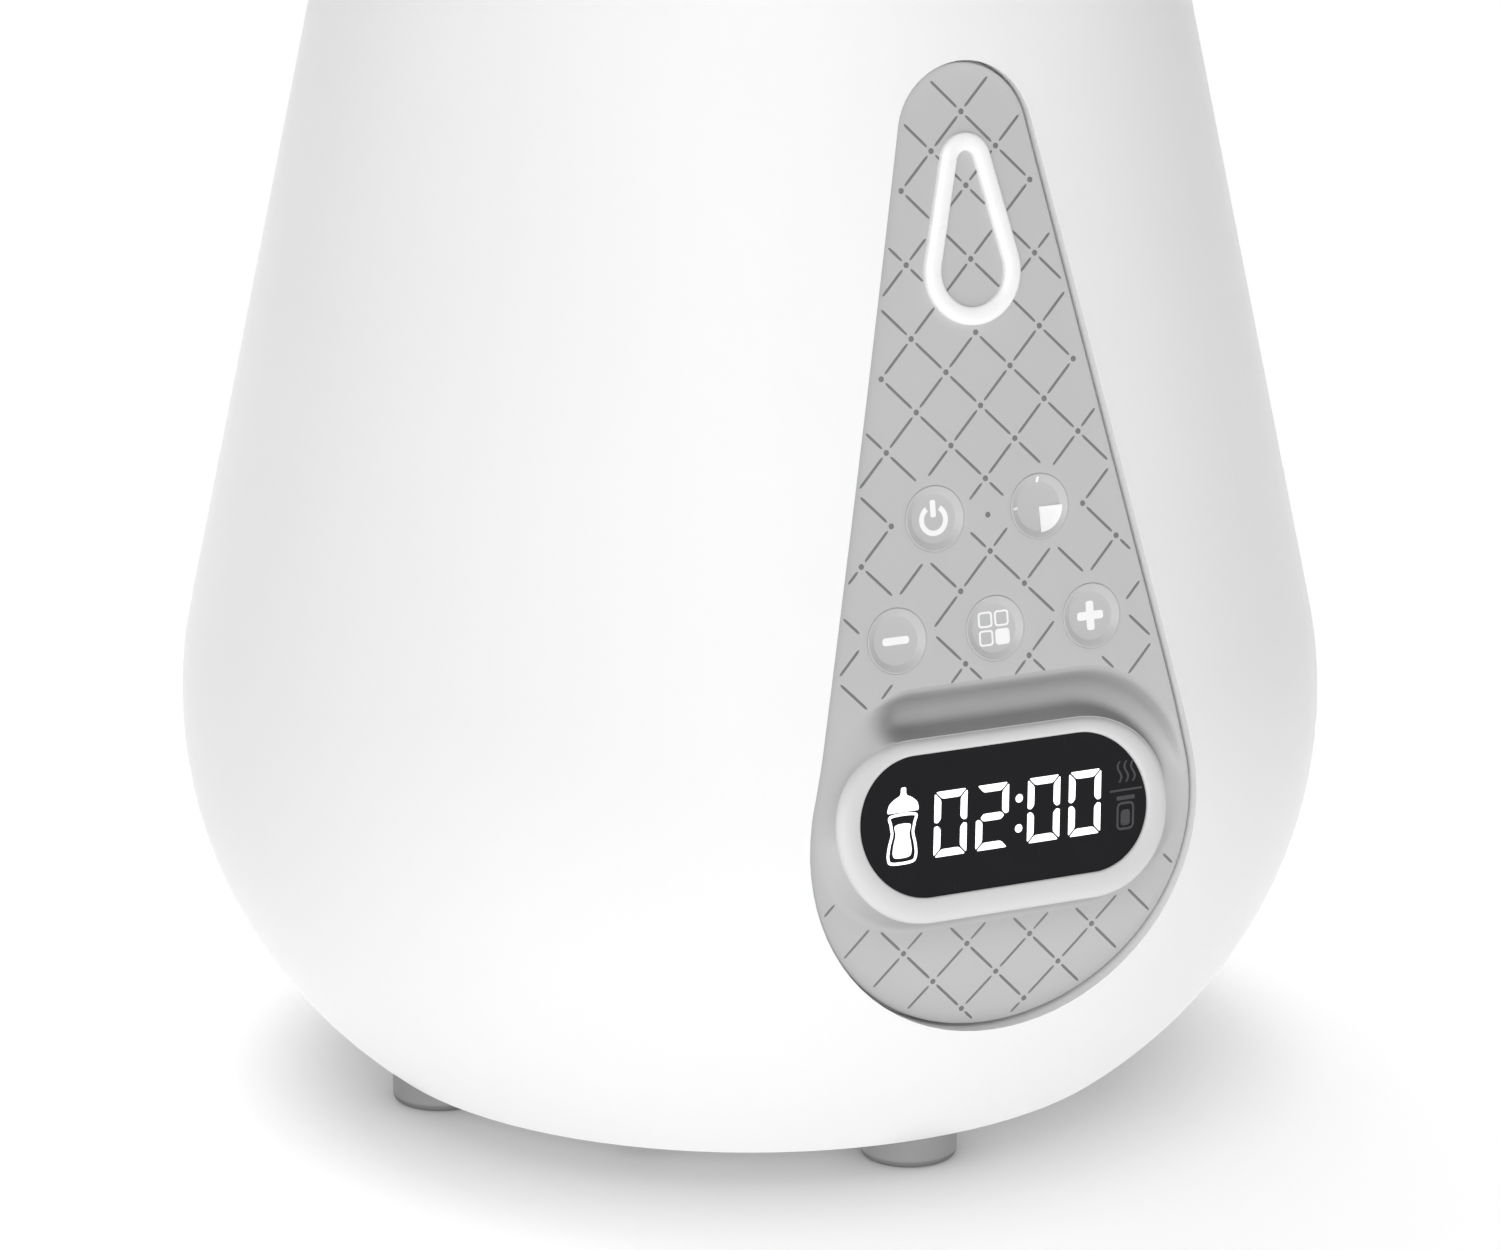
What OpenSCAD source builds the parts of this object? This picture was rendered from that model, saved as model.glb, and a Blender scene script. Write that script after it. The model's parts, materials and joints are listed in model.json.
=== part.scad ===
// Pear-shaped bottle warmer and steam steriliser with a teardrop control panel.
// The floor under the feet is z = 0, the body's axis is the Z axis, and the panel faces -Y.

/* [Body] */
// Widest diameter of the body
body_d = 150; // [146:1:154]
// Height of the widest ring above the floor
belly_z = 51; // [49:0.5:53]
// Radius of the round lower part, in section
belly_r = 59; // [57:0.5:61]
// Slope of the upper cone from the vertical, in degrees
taper = 12.2; // [11.5:0.1:12.8]
// Height of the shell's top edge
rim_z = 164; // [160:1:170]
// Wall of the shell
wall = 2.5; // [2:0.1:3]

/* [Base] */
// Height of the base edge above the floor
base_z = 4.2; // [3.5:0.1:5]
// Thickness of the base plate
base_t = 3; // [2.6:0.1:3.5]
// Width of the shell's edge around the base plate
base_lip = 1.4; // [0.8:0.1:2.6]
// Radius of a rubber foot
foot_r = 6.2; // [5.5:0.1:6.4]
// Distance of each foot's centre from the edge of the base plate
foot_inset = 4.7; // [4.2:0.1:5.7]
// Radius of the stem that holds a foot
foot_stem_r = 2.4; // [2:0.1:3]
// Distance of each base screw from the edge of the base plate
boss_inset = 8.2; // [7.2:0.1:10]
// Radius of a screw boss
boss_r = 4; // [3.6:0.1:4.4]
// Height of a screw boss
boss_h = 13; // [11:0.5:15]
// Radius of a base screw's shaft
screw_r = 1.45; // [1.2:0.05:1.6]
// Radius of a base screw's head
screw_head_r = 2.8; // [2.5:0.1:3]
// Height of a base screw's head
screw_head_h = 1.5; // [1.2:0.1:1.7]
// Length of a base screw's shaft
screw_l = 11; // [9:0.5:12]
// Number of vent slots on each side
vent_count = 5; // [3:1:6]
// Width of a vent slot
vent_w = 2.2; // [1.6:0.1:2.6]
// Length of a vent slot
vent_l = 22; // [16:1:24]
// Distance from one vent slot to the next
vent_pitch = 5; // [4:0.5:5]

/* [Panel outline] */
// Radius of the teardrop's round bottom
drop_low_r = 26.8; // [26:0.1:27.4]
// Height of the centre of the round bottom
drop_low_z = 50.8; // [49.5:0.1:52]
// Radius of the teardrop's round tip
drop_high_r = 9.2; // [8.6:0.1:10]
// Height of the centre of the round tip
drop_high_z = 132.9; // [130:0.1:136]
// Depth of the panel below the shell's edge
panel_recess = 1.1; // [0.8:0.1:1.4]
// Thickness of the panel
panel_t = 2.5; // [2.2:0.1:2.8]
// Height at which the flat part of the panel starts to curve under
panel_bend_z = 70; // [68:0.5:71]
// Radius of the panel's curved lower part
panel_bend_r = 130; // [115:5:150]
// Width of the ledge behind the panel
ledge_w = 3; // [2.4:0.1:3.4]
// Thickness of the ledge behind the panel
ledge_t = 2; // [1.6:0.1:2.4]
// Wall of the panel's pocket
pocket_wall = 2.3; // [2.1:0.1:2.6]

/* [Teardrop ring] */
// Outer radius of the ring's round bottom
ring_low_r = 6.5; // [6:0.1:7]
// Height of the centre of the ring's round bottom
ring_low_z = 117.2; // [115:0.1:119]
// Outer radius of the ring's tip
ring_high_r = 3.4; // [3:0.1:3.8]
// Height of the centre of the ring's tip
ring_high_z = 130.1; // [128.5:0.1:131.5]
// Width of the ring's band
ring_band = 2.2; // [1.8:0.1:2.4]
// Height of the ring above the panel
ring_h = 0.9; // [0.6:0.1:1.2]

/* [Display] */
// Height of the display's centre
display_z = 51.9; // [51:0.1:52.5]
// Distance of the display's centre in front of the panel
display_proud = 0.9; // [0.5:0.1:1.2]
// Upward tilt of the display, in degrees
display_tilt = 16; // [13:0.5:18]
// Radius of the glass's round ends
glass_r = 8.75; // [8.4:0.05:9]
// Half the distance between the centres of the glass's round ends
glass_half = 11.25; // [10.5:0.05:11.8]
// Thickness of the glass
glass_t = 1.6; // [1.2:0.1:2]
// Depth of the glass below the bezel's rim
glass_sink = 0.4; // [0.2:0.1:0.6]
// Width of the bezel's rim
bezel_w = 2.9; // [2.6:0.1:3.1]
// Depth of the bezel
bezel_t = 6.4; // [6:0.1:7]
// Rounding of the bezel's front edge
bezel_round = 0.9; // [0.6:0.1:1.2]
// Width of the shelf that carries the glass
shelf_w = 1.2; // [0.9:0.1:1.5]
// Thickness of the shelf that carries the glass
shelf_t = 1.2; // [1:0.1:1.5]
// Thickness of the display module
module_t = 4; // [3.5:0.1:4.5]
// Height of the sloped scoop above the bezel
scoop_h = 2.3; // [2:0.1:2.6]
// Width of the sloped scoop above the bezel
scoop_w = 3.9; // [3.4:0.1:4.2]

/* [Buttons] */
// Radius of a button
button_r = 4; // [3.6:0.1:4.2]
// Height of a button's rim above the panel
button_h = 0.1; // [0.05:0.05:0.3]
// Rounding of a button's rim
button_round = 0.1; // [0.08:0.01:0.14]
// Depth of a button's dished top
dish_depth = 0.5; // [0.3:0.1:0.7]
// Width of the slope around a button's dished top
dish_w = 0.8; // [0.6:0.1:1]
// Inward travel of a button
button_travel = 0.6; // [0.4:0.1:0.7]
// Width of the collar that keeps a button behind the panel
button_collar_w = 1; // [0.8:0.1:1.1]
// Thickness of the collar that keeps a button behind the panel
button_collar_t = 0.8; // [0.6:0.1:1]
// Height of the lower row of buttons
row_low_z = 74.5; // [74:0.1:75]
// Distance between neighbours in the lower row
row_low_pitch = 13.4; // [13:0.1:13.8]
// Height of the upper row of buttons
row_high_z = 88.4; // [88:0.1:89]
// Distance between neighbours in the upper row
row_high_pitch = 14.4; // [13.4:0.1:15]

/* [Control board] */
// Depth of the board's front behind the panel's face
board_depth = 8; // [7.6:0.1:8.6]
// Thickness of the circuit boards
board_t = 1.6; // [1.2:0.1:1.8]
// Half width of the control board at its lower edge
board_low_half = 17; // [16:0.5:18]
// Half width of the control board at its upper edge
board_high_half = 11.5; // [10.5:0.5:12]
// Length of the control board
board_l = 35; // [34:0.5:36]
// Side of a push switch
switch_w = 6; // [5.5:0.1:6.4]
// Radius of a push switch's plunger
switch_pin_r = 1.7; // [1.4:0.1:2]
// Height of a push switch's plunger above its case
switch_pin_h = 0.5; // [0.4:0.1:0.7]
// Radius of a post that carries the control board
post_r = 2.4; // [2.1:0.1:2.5]
// Distance between the lower posts
post_low_pitch = 14; // [13.6:0.1:14.4]
// Distance between the upper posts
post_high_pitch = 15; // [14:0.1:15.6]
// Radius of a control board screw's shaft
small_screw_r = 0.85; // [0.7:0.05:1]
// Radius of a control board screw's head
small_head_r = 1.8; // [1.5:0.1:2]
// Height of a control board screw's head
small_head_h = 1.2; // [1:0.1:1.5]
// Length of a control board screw's shaft
small_screw_l = 5.6; // [5:0.1:6]

/* [Water chamber] */
// Wall of the chamber
chamber_wall = 1.5; // [1.2:0.1:1.8]
// Depth of the chamber below the rim
chamber_depth = 103; // [98:1:106]
// Thickness of the chamber's floor
chamber_floor_t = 2; // [1.6:0.1:2.4]
// Width of the chamber's flange
flange_w = 3.4; // [3:0.1:3.6]
// Thickness of the chamber's flange
flange_t = 1.6; // [1.2:0.1:2]
// Thickness of the gasket under the flange
gasket_t = 1.2; // [1:0.1:1.6]
// Height of the rim ring's shoulder above the shell
shoulder_h = 2; // [1.6:0.1:2.4]
// Height of the rim ring's spigot above its shoulder
spigot_h = 3; // [2.6:0.1:3.4]
// Width of the shoulder that the lid stands over
shoulder_w = 2.3; // [2.1:0.1:2.4]
// Wall of the rim ring's spigot around the chamber's flange
spigot_wall = 2.2; // [1.7:0.1:3.2]
// Depth of the rim ring's skirt inside the shell
skirt_h = 4; // [3:0.5:5]
// Wall of the rim ring's skirt
skirt_wall = 1.8; // [1.5:0.1:2]

/* [Heater] */
// Gap between the heating plate's flange and the clamp's bosses
plate_gap = 1.5; // [0.5:0.1:3.5]
// Width of the heating plate's flange
plate_flange_w = 5; // [4.5:0.1:5.5]
// Thickness of the heating plate's flange
plate_flange_t = 1.6; // [1.2:0.1:2]
// Thickness of the plate's seal
plate_seal_t = 1; // [0.8:0.1:1.4]
// Radius of the heater block
heater_r = 16; // [14:0.5:16.5]
// Height of the heater block
heater_h = 8; // [7:0.5:9]
// Width of the clamp bar
clamp_w = 10; // [8:0.5:12]
// Thickness of the clamp bar
clamp_t = 2; // [1.6:0.1:2.4]
// Distance of each clamp screw from the chamber's outer wall
clamp_inset = 6; // [5:0.25:6.5]
// Radius of the thermostat
thermostat_r = 6; // [5:0.5:6.5]
// Height of the thermostat
thermostat_h = 7; // [6:0.5:8]
// Radius of the temperature probe
probe_r = 2; // [1.6:0.1:2.5]
// Height of the temperature probe
probe_h = 9; // [7:0.5:10]
// Radius of the thermal fuse
fuse_r = 2; // [1.6:0.1:2.2]
// Length of the thermal fuse
fuse_l = 11; // [9:0.5:12]
// Gap between the heater block and the thermostat
sensor_gap = 2; // [1.5:0.25:3]

/* [Power board] */
// Width of the power board
power_w = 50; // [46:1:50]
// Length of the power board
power_l = 56; // [52:1:56]
// Height of the power board above the base plate
standoff_h = 8; // [6:0.5:9]
// Radius of a standoff
standoff_r = 3; // [2.5:0.1:3.4]
// Inset of each standoff from the board's edges
standoff_inset = 4.5; // [4:0.1:5]
// Side of the transformer
transformer_w = 19; // [17:0.5:20]
// Height of the transformer
transformer_h = 16; // [14:0.5:18]
// Length of the relay
relay_l = 19; // [17:0.5:20]
// Width of the relay
relay_w = 15; // [13:0.5:15.5]
// Height of the relay
relay_h = 15; // [13:0.5:16]
// Radius of the filter capacitor
capacitor_r = 5; // [4:0.25:5.5]
// Height of the filter capacitor
capacitor_h = 18; // [14:0.5:20]
// Width of the terminal block
terminal_w = 18; // [16:0.5:19]
// Length of the terminal block
terminal_l = 8; // [7:0.5:9]
// Height of the terminal block
terminal_h = 9; // [8:0.5:10]
// Radius of a lead
lead_r = 1.1; // [0.9:0.05:1.2]
// Width of the ribbon cable
ribbon_w = 12; // [10:0.5:13]
// Thickness of the ribbon cable
ribbon_t = 0.8; // [0.6:0.1:1]

/* [Power inlet] */
// Height of the inlet's centre
inlet_z = 30; // [29:0.5:32]
// Width of the recess around the inlet
inlet_recess_w = 27; // [25:0.5:29]
// Height of the recess around the inlet
inlet_recess_h = 19; // [17.5:0.5:20]
// Depth of the recess at its lower edge
inlet_recess_d = 6; // [5:0.5:7]
// Width of the inlet's front flange
inlet_flange_w = 25; // [23:0.5:26]
// Height of the inlet's front flange
inlet_flange_h = 16; // [15:0.5:17]
// Thickness of the inlet's front flange
inlet_flange_t = 2; // [1.6:0.1:2.4]
// Width of the inlet's body
inlet_w = 19; // [18:0.5:20]
// Height of the inlet's body
inlet_h = 11; // [10:0.5:11.5]
// Length of the inlet's body behind its flange
inlet_l = 16; // [15:0.5:17]
// Radius of each lobe of the socket
socket_r = 3.5; // [3.3:0.05:3.7]
// Depth of the socket
socket_d = 14; // [13:0.5:14.5]
// Distance between the two contact pins
pin_pitch = 8.6; // [8.2:0.1:9]
// Radius of a contact pin
pin_r = 1.2; // [1.1:0.05:1.3]

/* [Lid] */
// Height of the lid's cone above its lower edge
lid_cone_h = 40; // [34:1:46]
// Wall of the lid
lid_wall = 2.4; // [2.2:0.1:2.6]
// Height of the lid's seal
lid_seal_t = 1; // [0.8:0.1:1.2]
// Radius of the flat land that carries the knob
land_r = 10; // [9.5:0.5:11]
// Thickness of the flat land that carries the knob
land_t = 3.6; // [3.4:0.1:4]
// Radius of a steam vent
steam_r = 2; // [1.5:0.1:2.5]
// Distance of each steam vent from the axis
steam_ring = 17; // [15:0.5:18]
// Radius of the knob's cap
knob_r = 14; // [12:0.5:15]
// Radius of the knob's neck
knob_neck_r = 8; // [7:0.5:9]
// Height of the knob
knob_h = 17; // [15:0.5:19]
// Thickness of the knob's cap
knob_cap_t = 7; // [6:0.5:8]
// Radius of the knob's screw
knob_screw_r = 2; // [1.5:0.1:2.2]
// Radius of the head of the knob's screw
knob_head_r = 4; // [3.5:0.1:4.5]
// Height of the head of the knob's screw
knob_head_h = 2.2; // [1.8:0.1:2.6]
// Length of the knob's screw above the land
knob_screw_l = 10; // [8:0.5:11]

/* [Basket] */
// Gap between the basket and the chamber's wall
basket_gap = 1.4; // [1.3:0.1:2.2]
// Wall of the basket
basket_wall = 2.4; // [2:0.1:2.8]
// Height of the basket's cage
basket_h = 84; // [76:1:90]
// Height of the basket's hoops
hoop_h = 5; // [4:0.5:6]
// Number of upright bars
bar_count = 8; // [6:2:10]
// Width of an upright bar
bar_w = 6; // [5:0.5:7]
// Width of the cross bars under the bottle
cross_w = 5; // [4:0.5:6]
// Thickness of the cross bars under the bottle
cross_t = 2.5; // [2:0.1:3]
// Height of each handle above the cage
handle_h = 32; // [28:1:36]
// Width of each handle
handle_w = 18; // [16:0.5:20]
// Radius of the finger hole in each handle
finger_r = 5; // [4:0.5:6]

/* [Fits] */
// Gap between fixed pieces that slip into each other
slip = 0.1; // [0.08:0.01:0.12]
// Gap around the panel, the base plate and the rim
seam = 0.3; // [0.25:0.05:0.35]
// Gap around a button
button_gap = 0.2; // [0.18:0.01:0.25]
// Gap between pieces that lift off and what they stand on
lift_gap = 0.3; // [0.25:0.05:0.35]

/* [Hidden] */
$fn = 96;

// Colours as the photograph shows them
white = [0.95, 0.95, 0.95];
panel_grey = [0.72, 0.72, 0.72];
rim_grey = [0.84, 0.84, 0.84];
black = [0.08, 0.08, 0.09];
rubber_grey = [0.55, 0.55, 0.55];
steel = [0.75, 0.76, 0.78];
silicone = [0.86, 0.86, 0.84];
board_green = [0.1, 0.35, 0.2];
clear_plastic = [0.85, 0.9, 0.95, 0.35];

// Body section: a round belly that runs on into a cone
body_r = body_d / 2;
belly_c = body_r - belly_r;
join_r = belly_c + belly_r * cos(taper);
join_z = belly_z + belly_r * sin(taper);
function cone_rad(z, off = 0) = join_r - (z - join_z) * tan(taper) - off / cos(taper);
function belly_rad(z, off = 0) = belly_c + sqrt(pow(belly_r - off, 2) - pow(z - belly_z, 2));
big = 2 * body_d;
cut = 1;
// A straight run stops this far inside its tangent, so that it crosses the arc and leaves no sliver
blend = 0.01;
// Length of an arc that runs on behind its tangent
overlap = 4;

// Base plate, feet and screws
base_r = belly_rad(base_z) - base_lip - seam;
foot_ring = base_r - foot_inset;
boss_ring = base_r - boss_inset;
plate_top = base_z + base_t;
foot_fillet = foot_r / 6;
stem_h = base_t - 0.4;
sides = [0, 90, 180, 270];

// Panel: flat above the bend, curved under below it, straight from side to side
drop_lean = asin((drop_low_r - drop_high_r) / (drop_high_z - drop_low_z));
drop_tip_z = drop_high_z + drop_high_r;
bend_half = (drop_low_r - (panel_bend_z - drop_low_z) * sin(drop_lean)) / cos(drop_lean);
bend_d = sqrt(pow(cone_rad(panel_bend_z), 2) - pow(bend_half, 2)) - panel_recess;
tip_d = cone_rad(drop_tip_z) - panel_recess;
panel_tilt = atan((bend_d - tip_d) / (drop_tip_z - panel_bend_z));
bend_c_d = bend_d - panel_bend_r * cos(panel_tilt);
bend_c_z = panel_bend_z - panel_bend_r * sin(panel_tilt);
panel_top_l = rim_z - panel_bend_z;
core_d = body_r / 3;
function panel_face(z) = bend_d - (z - panel_bend_z) * tan(panel_tilt);

// Display: a tilted dish, sunk at the top and proud at the bottom
display_d = bend_c_d + panel_bend_r + display_proud;
bezel_r = glass_r + bezel_w;
module_back = glass_sink + glass_t + shelf_t + module_t;
collar_d = bezel_r / 2;

// Buttons: name order is power, start, minus, mode, plus
button_places = [
    [-row_high_pitch / 2, row_high_z], [row_high_pitch / 2, row_high_z],
    [-row_low_pitch, row_low_z], [0, row_low_z], [row_low_pitch, row_low_z]
];
dish_r = button_r - 2 * button_round;
collar_top = panel_t + seam;
stem_end = collar_top + button_collar_t + seam;
stem_r = button_r / 2;
switch_top = stem_end + button_travel + slip;

// Control board, in panel coordinates about the middle of the two rows
board_mid_z = (row_low_z + row_high_z) / 2;
board_back = board_depth + board_t;
board_low_v = -board_l * 0.44;
post_edge = 3;
post_places = [
    for (s = [-1, 1]) [s * post_low_pitch / 2, board_low_v + post_edge],
    for (s = [-1, 1]) [s * post_high_pitch / 2, board_low_v + board_l - post_edge]
];
header_wall = 1;
header_w = ribbon_w + 2 * header_wall;
header_l = 6;
header_h = 3;

// Rim, chamber and heater levels
shoulder_z = rim_z + shoulder_h;
spigot_z = shoulder_z + spigot_h;
spigot_r = cone_rad(shoulder_z) - shoulder_w;
flange_r = spigot_r - spigot_wall - slip;
chamber_or = flange_r - flange_w;
chamber_r = chamber_or - chamber_wall;
flange_z = spigot_z - flange_t;
seat_z = flange_z - gasket_t;
skirt_or = cone_rad(rim_z, wall) - slip;
floor_z = spigot_z - chamber_depth;
floor_under = floor_z - chamber_floor_t;
plate_under = floor_under - plate_seal_t - plate_flange_t;
heater_under = plate_under - heater_h;
clamp_boss_r = 3;
clamp_screw_ring = chamber_or - clamp_inset;
plate_flange_r = clamp_screw_ring - clamp_boss_r - plate_gap;
plate_r = plate_flange_r - plate_flange_w;
sensor_ring = heater_r + thermostat_r + sensor_gap;
clamp_l = 2 * (clamp_screw_ring + clamp_boss_r);
clamp_screw_l = 8;
clamp_head_r = 2.6;
clamp_head_h = 1.8;

// Power board
power_z = plate_top + standoff_h;
power_top = power_z + board_t;
standoff_x = power_w / 2 - standoff_inset;
standoff_y = power_l / 2 - standoff_inset;
standoff_places = [for (x = [-1, 1], y = [-1, 1]) [x * standoff_x, y * standoff_y]];
standoff_screw_l = standoff_h - 1;
part_gap = 3;
terminal_y = power_l / 2 - terminal_l / 2;
inner_y = terminal_y - terminal_l / 2 - part_gap;

// Inlet recess, sunk from the body's surface at the recess's lower edge
inlet_low_z = inlet_z - inlet_recess_h / 2;
inlet_y = belly_rad(inlet_low_z) - inlet_recess_d;
inlet_wall = 2;
pin_tip = 3;
pin_tail = 4;
recess_round = 3;

// Lid: the body's cone runs on and closes in a tangent dome
lid_low_z = shoulder_z + lift_gap;
lid_step_z = spigot_z + lift_gap + lid_seal_t;
dome_join_z = lid_low_z + lid_cone_h;
dome_r = cone_rad(dome_join_z) / cos(taper);
dome_z = dome_join_z - dome_r * sin(taper);
dome_top = dome_z + dome_r;
lid_inner_r = spigot_r + lift_gap;
land_z = dome_top + 0.6;
steam_places = [90, 210, 330];

// Basket
basket_r = chamber_r - basket_gap;
basket_z = floor_z + lift_gap;
cage_top = basket_z + basket_h;
handle_top = cage_top + handle_h;
bar_in = basket_r - 0.8 * basket_wall;
handle_in = basket_r - 1.2 * basket_wall;

// Quarter disc in the first quadrant
module quarter(r) {
    intersection() {
        circle(r);
        square(r);
    }
}

// Rectangle with round corners, centred
module round_rect(w, h, r) {
    square([w - 2 * r, h], center = true);
    square([w, h - 2 * r], center = true);
    for (x = [0, 1], y = [0, 1])
        mirror([x, 0]) mirror([0, y]) translate([w / 2 - r, h / 2 - r]) quarter(r);
}

// Body section inside the surface, offset inwards by off, from z0 to z1
module body_section(off, z0, z1) {
    r = belly_r - off;
    top_z = belly_z + r * sin(taper);
    line = off + blend;
    intersection() {
        translate([belly_c, belly_z]) circle(r);
        translate([0, z0]) square([body_r, top_z + overlap - z0]);
    }
    polygon([[0, top_z], [cone_rad(top_z, line), top_z], [cone_rad(z1, line), z1], [0, z1]]);
}

// Two circles joined by their tangents, each grown by grow
module teardrop(low_r, low_z, high_r, high_z, grow = 0) {
    lean = asin((low_r - high_r) / (high_z - low_z));
    low = [cos(lean), sin(lean)] * (low_r + grow - blend);
    high = [cos(lean), sin(lean)] * (high_r + grow - blend);
    translate([0, low_z]) circle(low_r + grow);
    translate([0, high_z]) circle(high_r + grow);
    polygon([
        [-low[0], low_z + low[1]], [low[0], low_z + low[1]],
        [high[0], high_z + high[1]], [-high[0], high_z + high[1]]
    ]);
}

module panel_outline(grow = 0) {
    teardrop(drop_low_r, drop_low_z, drop_high_r, drop_high_z, grow);
}

// Drawing in X and Z, extruded towards the front from distance d0 to d1
module extrude_front(d0, d1) {
    rotate([90, 0, 0]) translate([0, 0, d0]) linear_extrude(d1 - d0) children();
}

// Drawing in distance and Z, extruded from side to side
module extrude_side(w) {
    rotate([0, 0, -90]) rotate([90, 0, 0]) linear_extrude(w, center = true) children();
}

// Section of everything behind the panel's face, offset inwards by off
module behind(off) {
    r = panel_bend_r - off;
    bend = [bend_c_d, bend_c_z] + (r - blend) * [cos(panel_tilt), sin(panel_tilt)];
    top = bend + panel_top_l * [-sin(panel_tilt), cos(panel_tilt)];
    polygon([[core_d, bend[1]], bend, top, [core_d, top[1]]]);
    intersection() {
        translate([bend_c_d, bend_c_z]) circle(r, $fn = 2 * $fn);
        translate([core_d, 0]) square([body_r, rim_z]);
    }
}

// Section of everything in front of the panel's face, offset inwards by off
module in_front(off) {
    difference() {
        translate([core_d + cut, cut]) square([body_r, rim_z - 4 * cut]);
        behind(off);
    }
}

// Places children on the panel, with +Z out of its face and +Y up along it
module on_panel(x, z) {
    translate([x, -panel_face(z), z]) rotate([90 - panel_tilt, 0, 0]) children();
}

// Places children at the display's centre, with +Z out of the glass
module on_display() {
    translate([0, -display_d, display_z]) rotate([90 - display_tilt, 0, 0]) children();
}

// Solid with straight sides and round ends, from a section in radius and height
module long_round() {
    for (side = [0, 180])
        rotate(side) translate([glass_half, 0, 0]) rotate(-90) rotate_extrude(angle = 180) children();
    rotate([90, 0, 90]) linear_extrude(2 * glass_half, center = true) {
        children();
        mirror([1, 0]) children();
    }
}

// Post on the Z axis with a rounded top edge
module rounded_post(r, h, fillet) {
    rotate_extrude() {
        square([r, h - fillet]);
        square([r - fillet, h]);
        translate([r - fillet, h - fillet]) quarter(fillet);
    }
}

// Pan-head screw that points up, with the head's upper face at z = 0
module screw(shaft_r, shaft_l, head_r, head_h) {
    cylinder(r = shaft_r, h = shaft_l);
    translate([0, 0, -head_h]) cylinder(r = head_r, h = head_h);
}

// Round lead along a list of points
module lead(points, r) {
    for (i = [0 : len(points) - 2]) {
        run = points[i + 1] - points[i];
        length = norm(run);
        turn = [0, acos(run[2] / length), atan2(run[1], run[0])];
        translate(points[i]) rotate(turn) cylinder(r = r, h = length);
    }
    for (i = [1 : len(points) - 2])
        translate(points[i]) sphere(r * 1.04);
}

module at_bosses() {
    for (a = sides)
        rotate(a + 45) translate([boss_ring, 0, 0]) children();
}

// Pocket and ledge that carry the front panel
module panel_tub() {
    intersection() {
        rotate_extrude() body_section(wall / 2, base_z, rim_z);
        extrude_front(core_d + cut, big) panel_outline(pocket_wall);
        extrude_side(big) in_front(panel_t + ledge_t);
    }
}

module panel_pocket() {
    intersection() {
        extrude_front(core_d + cut, big) panel_outline();
        extrude_side(big) in_front(panel_t);
    }
    extrude_front(core_d + cut, big) panel_outline(-ledge_w);
}

// Drawing in X and Z around the inlet, extruded towards the back from y0 to y1
module extrude_back(y0, y1) {
    translate([0, y1, inlet_z]) rotate([90, 0, 0]) linear_extrude(y1 - y0) children();
}

module inlet_tub() {
    grow = 2 * inlet_wall;
    intersection() {
        rotate_extrude() body_section(wall / 2, base_z, rim_z);
        extrude_back(inlet_y - inlet_wall, big)
            round_rect(inlet_recess_w + grow, inlet_recess_h + grow, recess_round + inlet_wall);
    }
}

module inlet_cuts() {
    extrude_back(inlet_y, big) round_rect(inlet_recess_w, inlet_recess_h, recess_round);
    extrude_back(0, big) square([inlet_w + 2 * slip, inlet_h + 2 * slip], center = true);
}

// Screw bosses with a rib from each to the wall
module shell_bosses() {
    rib_t = 2;
    intersection() {
        rotate_extrude() body_section(wall / 2, base_z, rim_z);
        at_bosses() translate([0, 0, plate_top]) {
            cylinder(r = boss_r, h = boss_h);
            translate([0, -rib_t / 2, 0]) cube([body_r, rib_t, boss_h - cut]);
        }
    }
}

module outer_shell() {
    color(white) difference() {
        union() {
            rotate_extrude() difference() {
                body_section(0, base_z, rim_z);
                body_section(wall, base_z - cut, rim_z + cut);
            }
            panel_tub();
            inlet_tub();
            shell_bosses();
        }
        panel_pocket();
        inlet_cuts();
        translate([0, 0, base_z - cut]) cylinder(r = base_r + seam, h = base_t + cut);
        at_bosses() translate([0, 0, plate_top - cut]) cylinder(r = screw_r + slip / 2, h = screw_l + cut);
    }
}

module vent_slots() {
    for (side = [-1, 1], i = [0 : vent_count - 1])
        translate([side * foot_ring / 2, (i - (vent_count - 1) / 2) * vent_pitch, plate_top / 2])
            cube([vent_l, vent_w, plate_top], center = true);
}

module base_plate() {
    head_z = base_z + screw_head_h + slip;
    color(white) difference() {
        union() {
            translate([0, 0, base_z]) cylinder(r = base_r, h = base_t);
            for (p = standoff_places)
                translate([p[0], p[1], plate_top]) cylinder(r = standoff_r, h = standoff_h);
        }
        vent_slots();
        for (a = sides)
            rotate(a) translate([foot_ring, 0, base_z - cut])
                cylinder(r = foot_stem_r + slip, h = stem_h + cut + slip);
        at_bosses() {
            translate([0, 0, base_z - cut]) cylinder(r = screw_head_r + slip, h = head_z - base_z + cut);
            translate([0, 0, base_z]) cylinder(r = screw_r + slip, h = 2 * base_t);
        }
        for (p = standoff_places)
            translate([p[0], p[1], power_z - standoff_screw_l])
                cylinder(r = small_screw_r + slip / 2, h = standoff_h);
    }
}

// Rubber foot with a stem that plugs into the base plate
module foot(angle) {
    color(rubber_grey) rotate(angle) translate([foot_ring, 0, 0]) {
        translate([0, 0, base_z]) mirror([0, 0, 1]) rounded_post(foot_r, base_z, foot_fillet);
        cylinder(r = foot_stem_r, h = base_z + stem_h);
    }
}

module foot_front() { foot(270); }
module foot_right() { foot(0); }
module foot_back() { foot(90); }
module foot_left() { foot(180); }

module base_screws() {
    color(steel) at_bosses()
        translate([0, 0, base_z + screw_head_h]) screw(screw_r, screw_l - slip, screw_head_r, screw_head_h);
}

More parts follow.
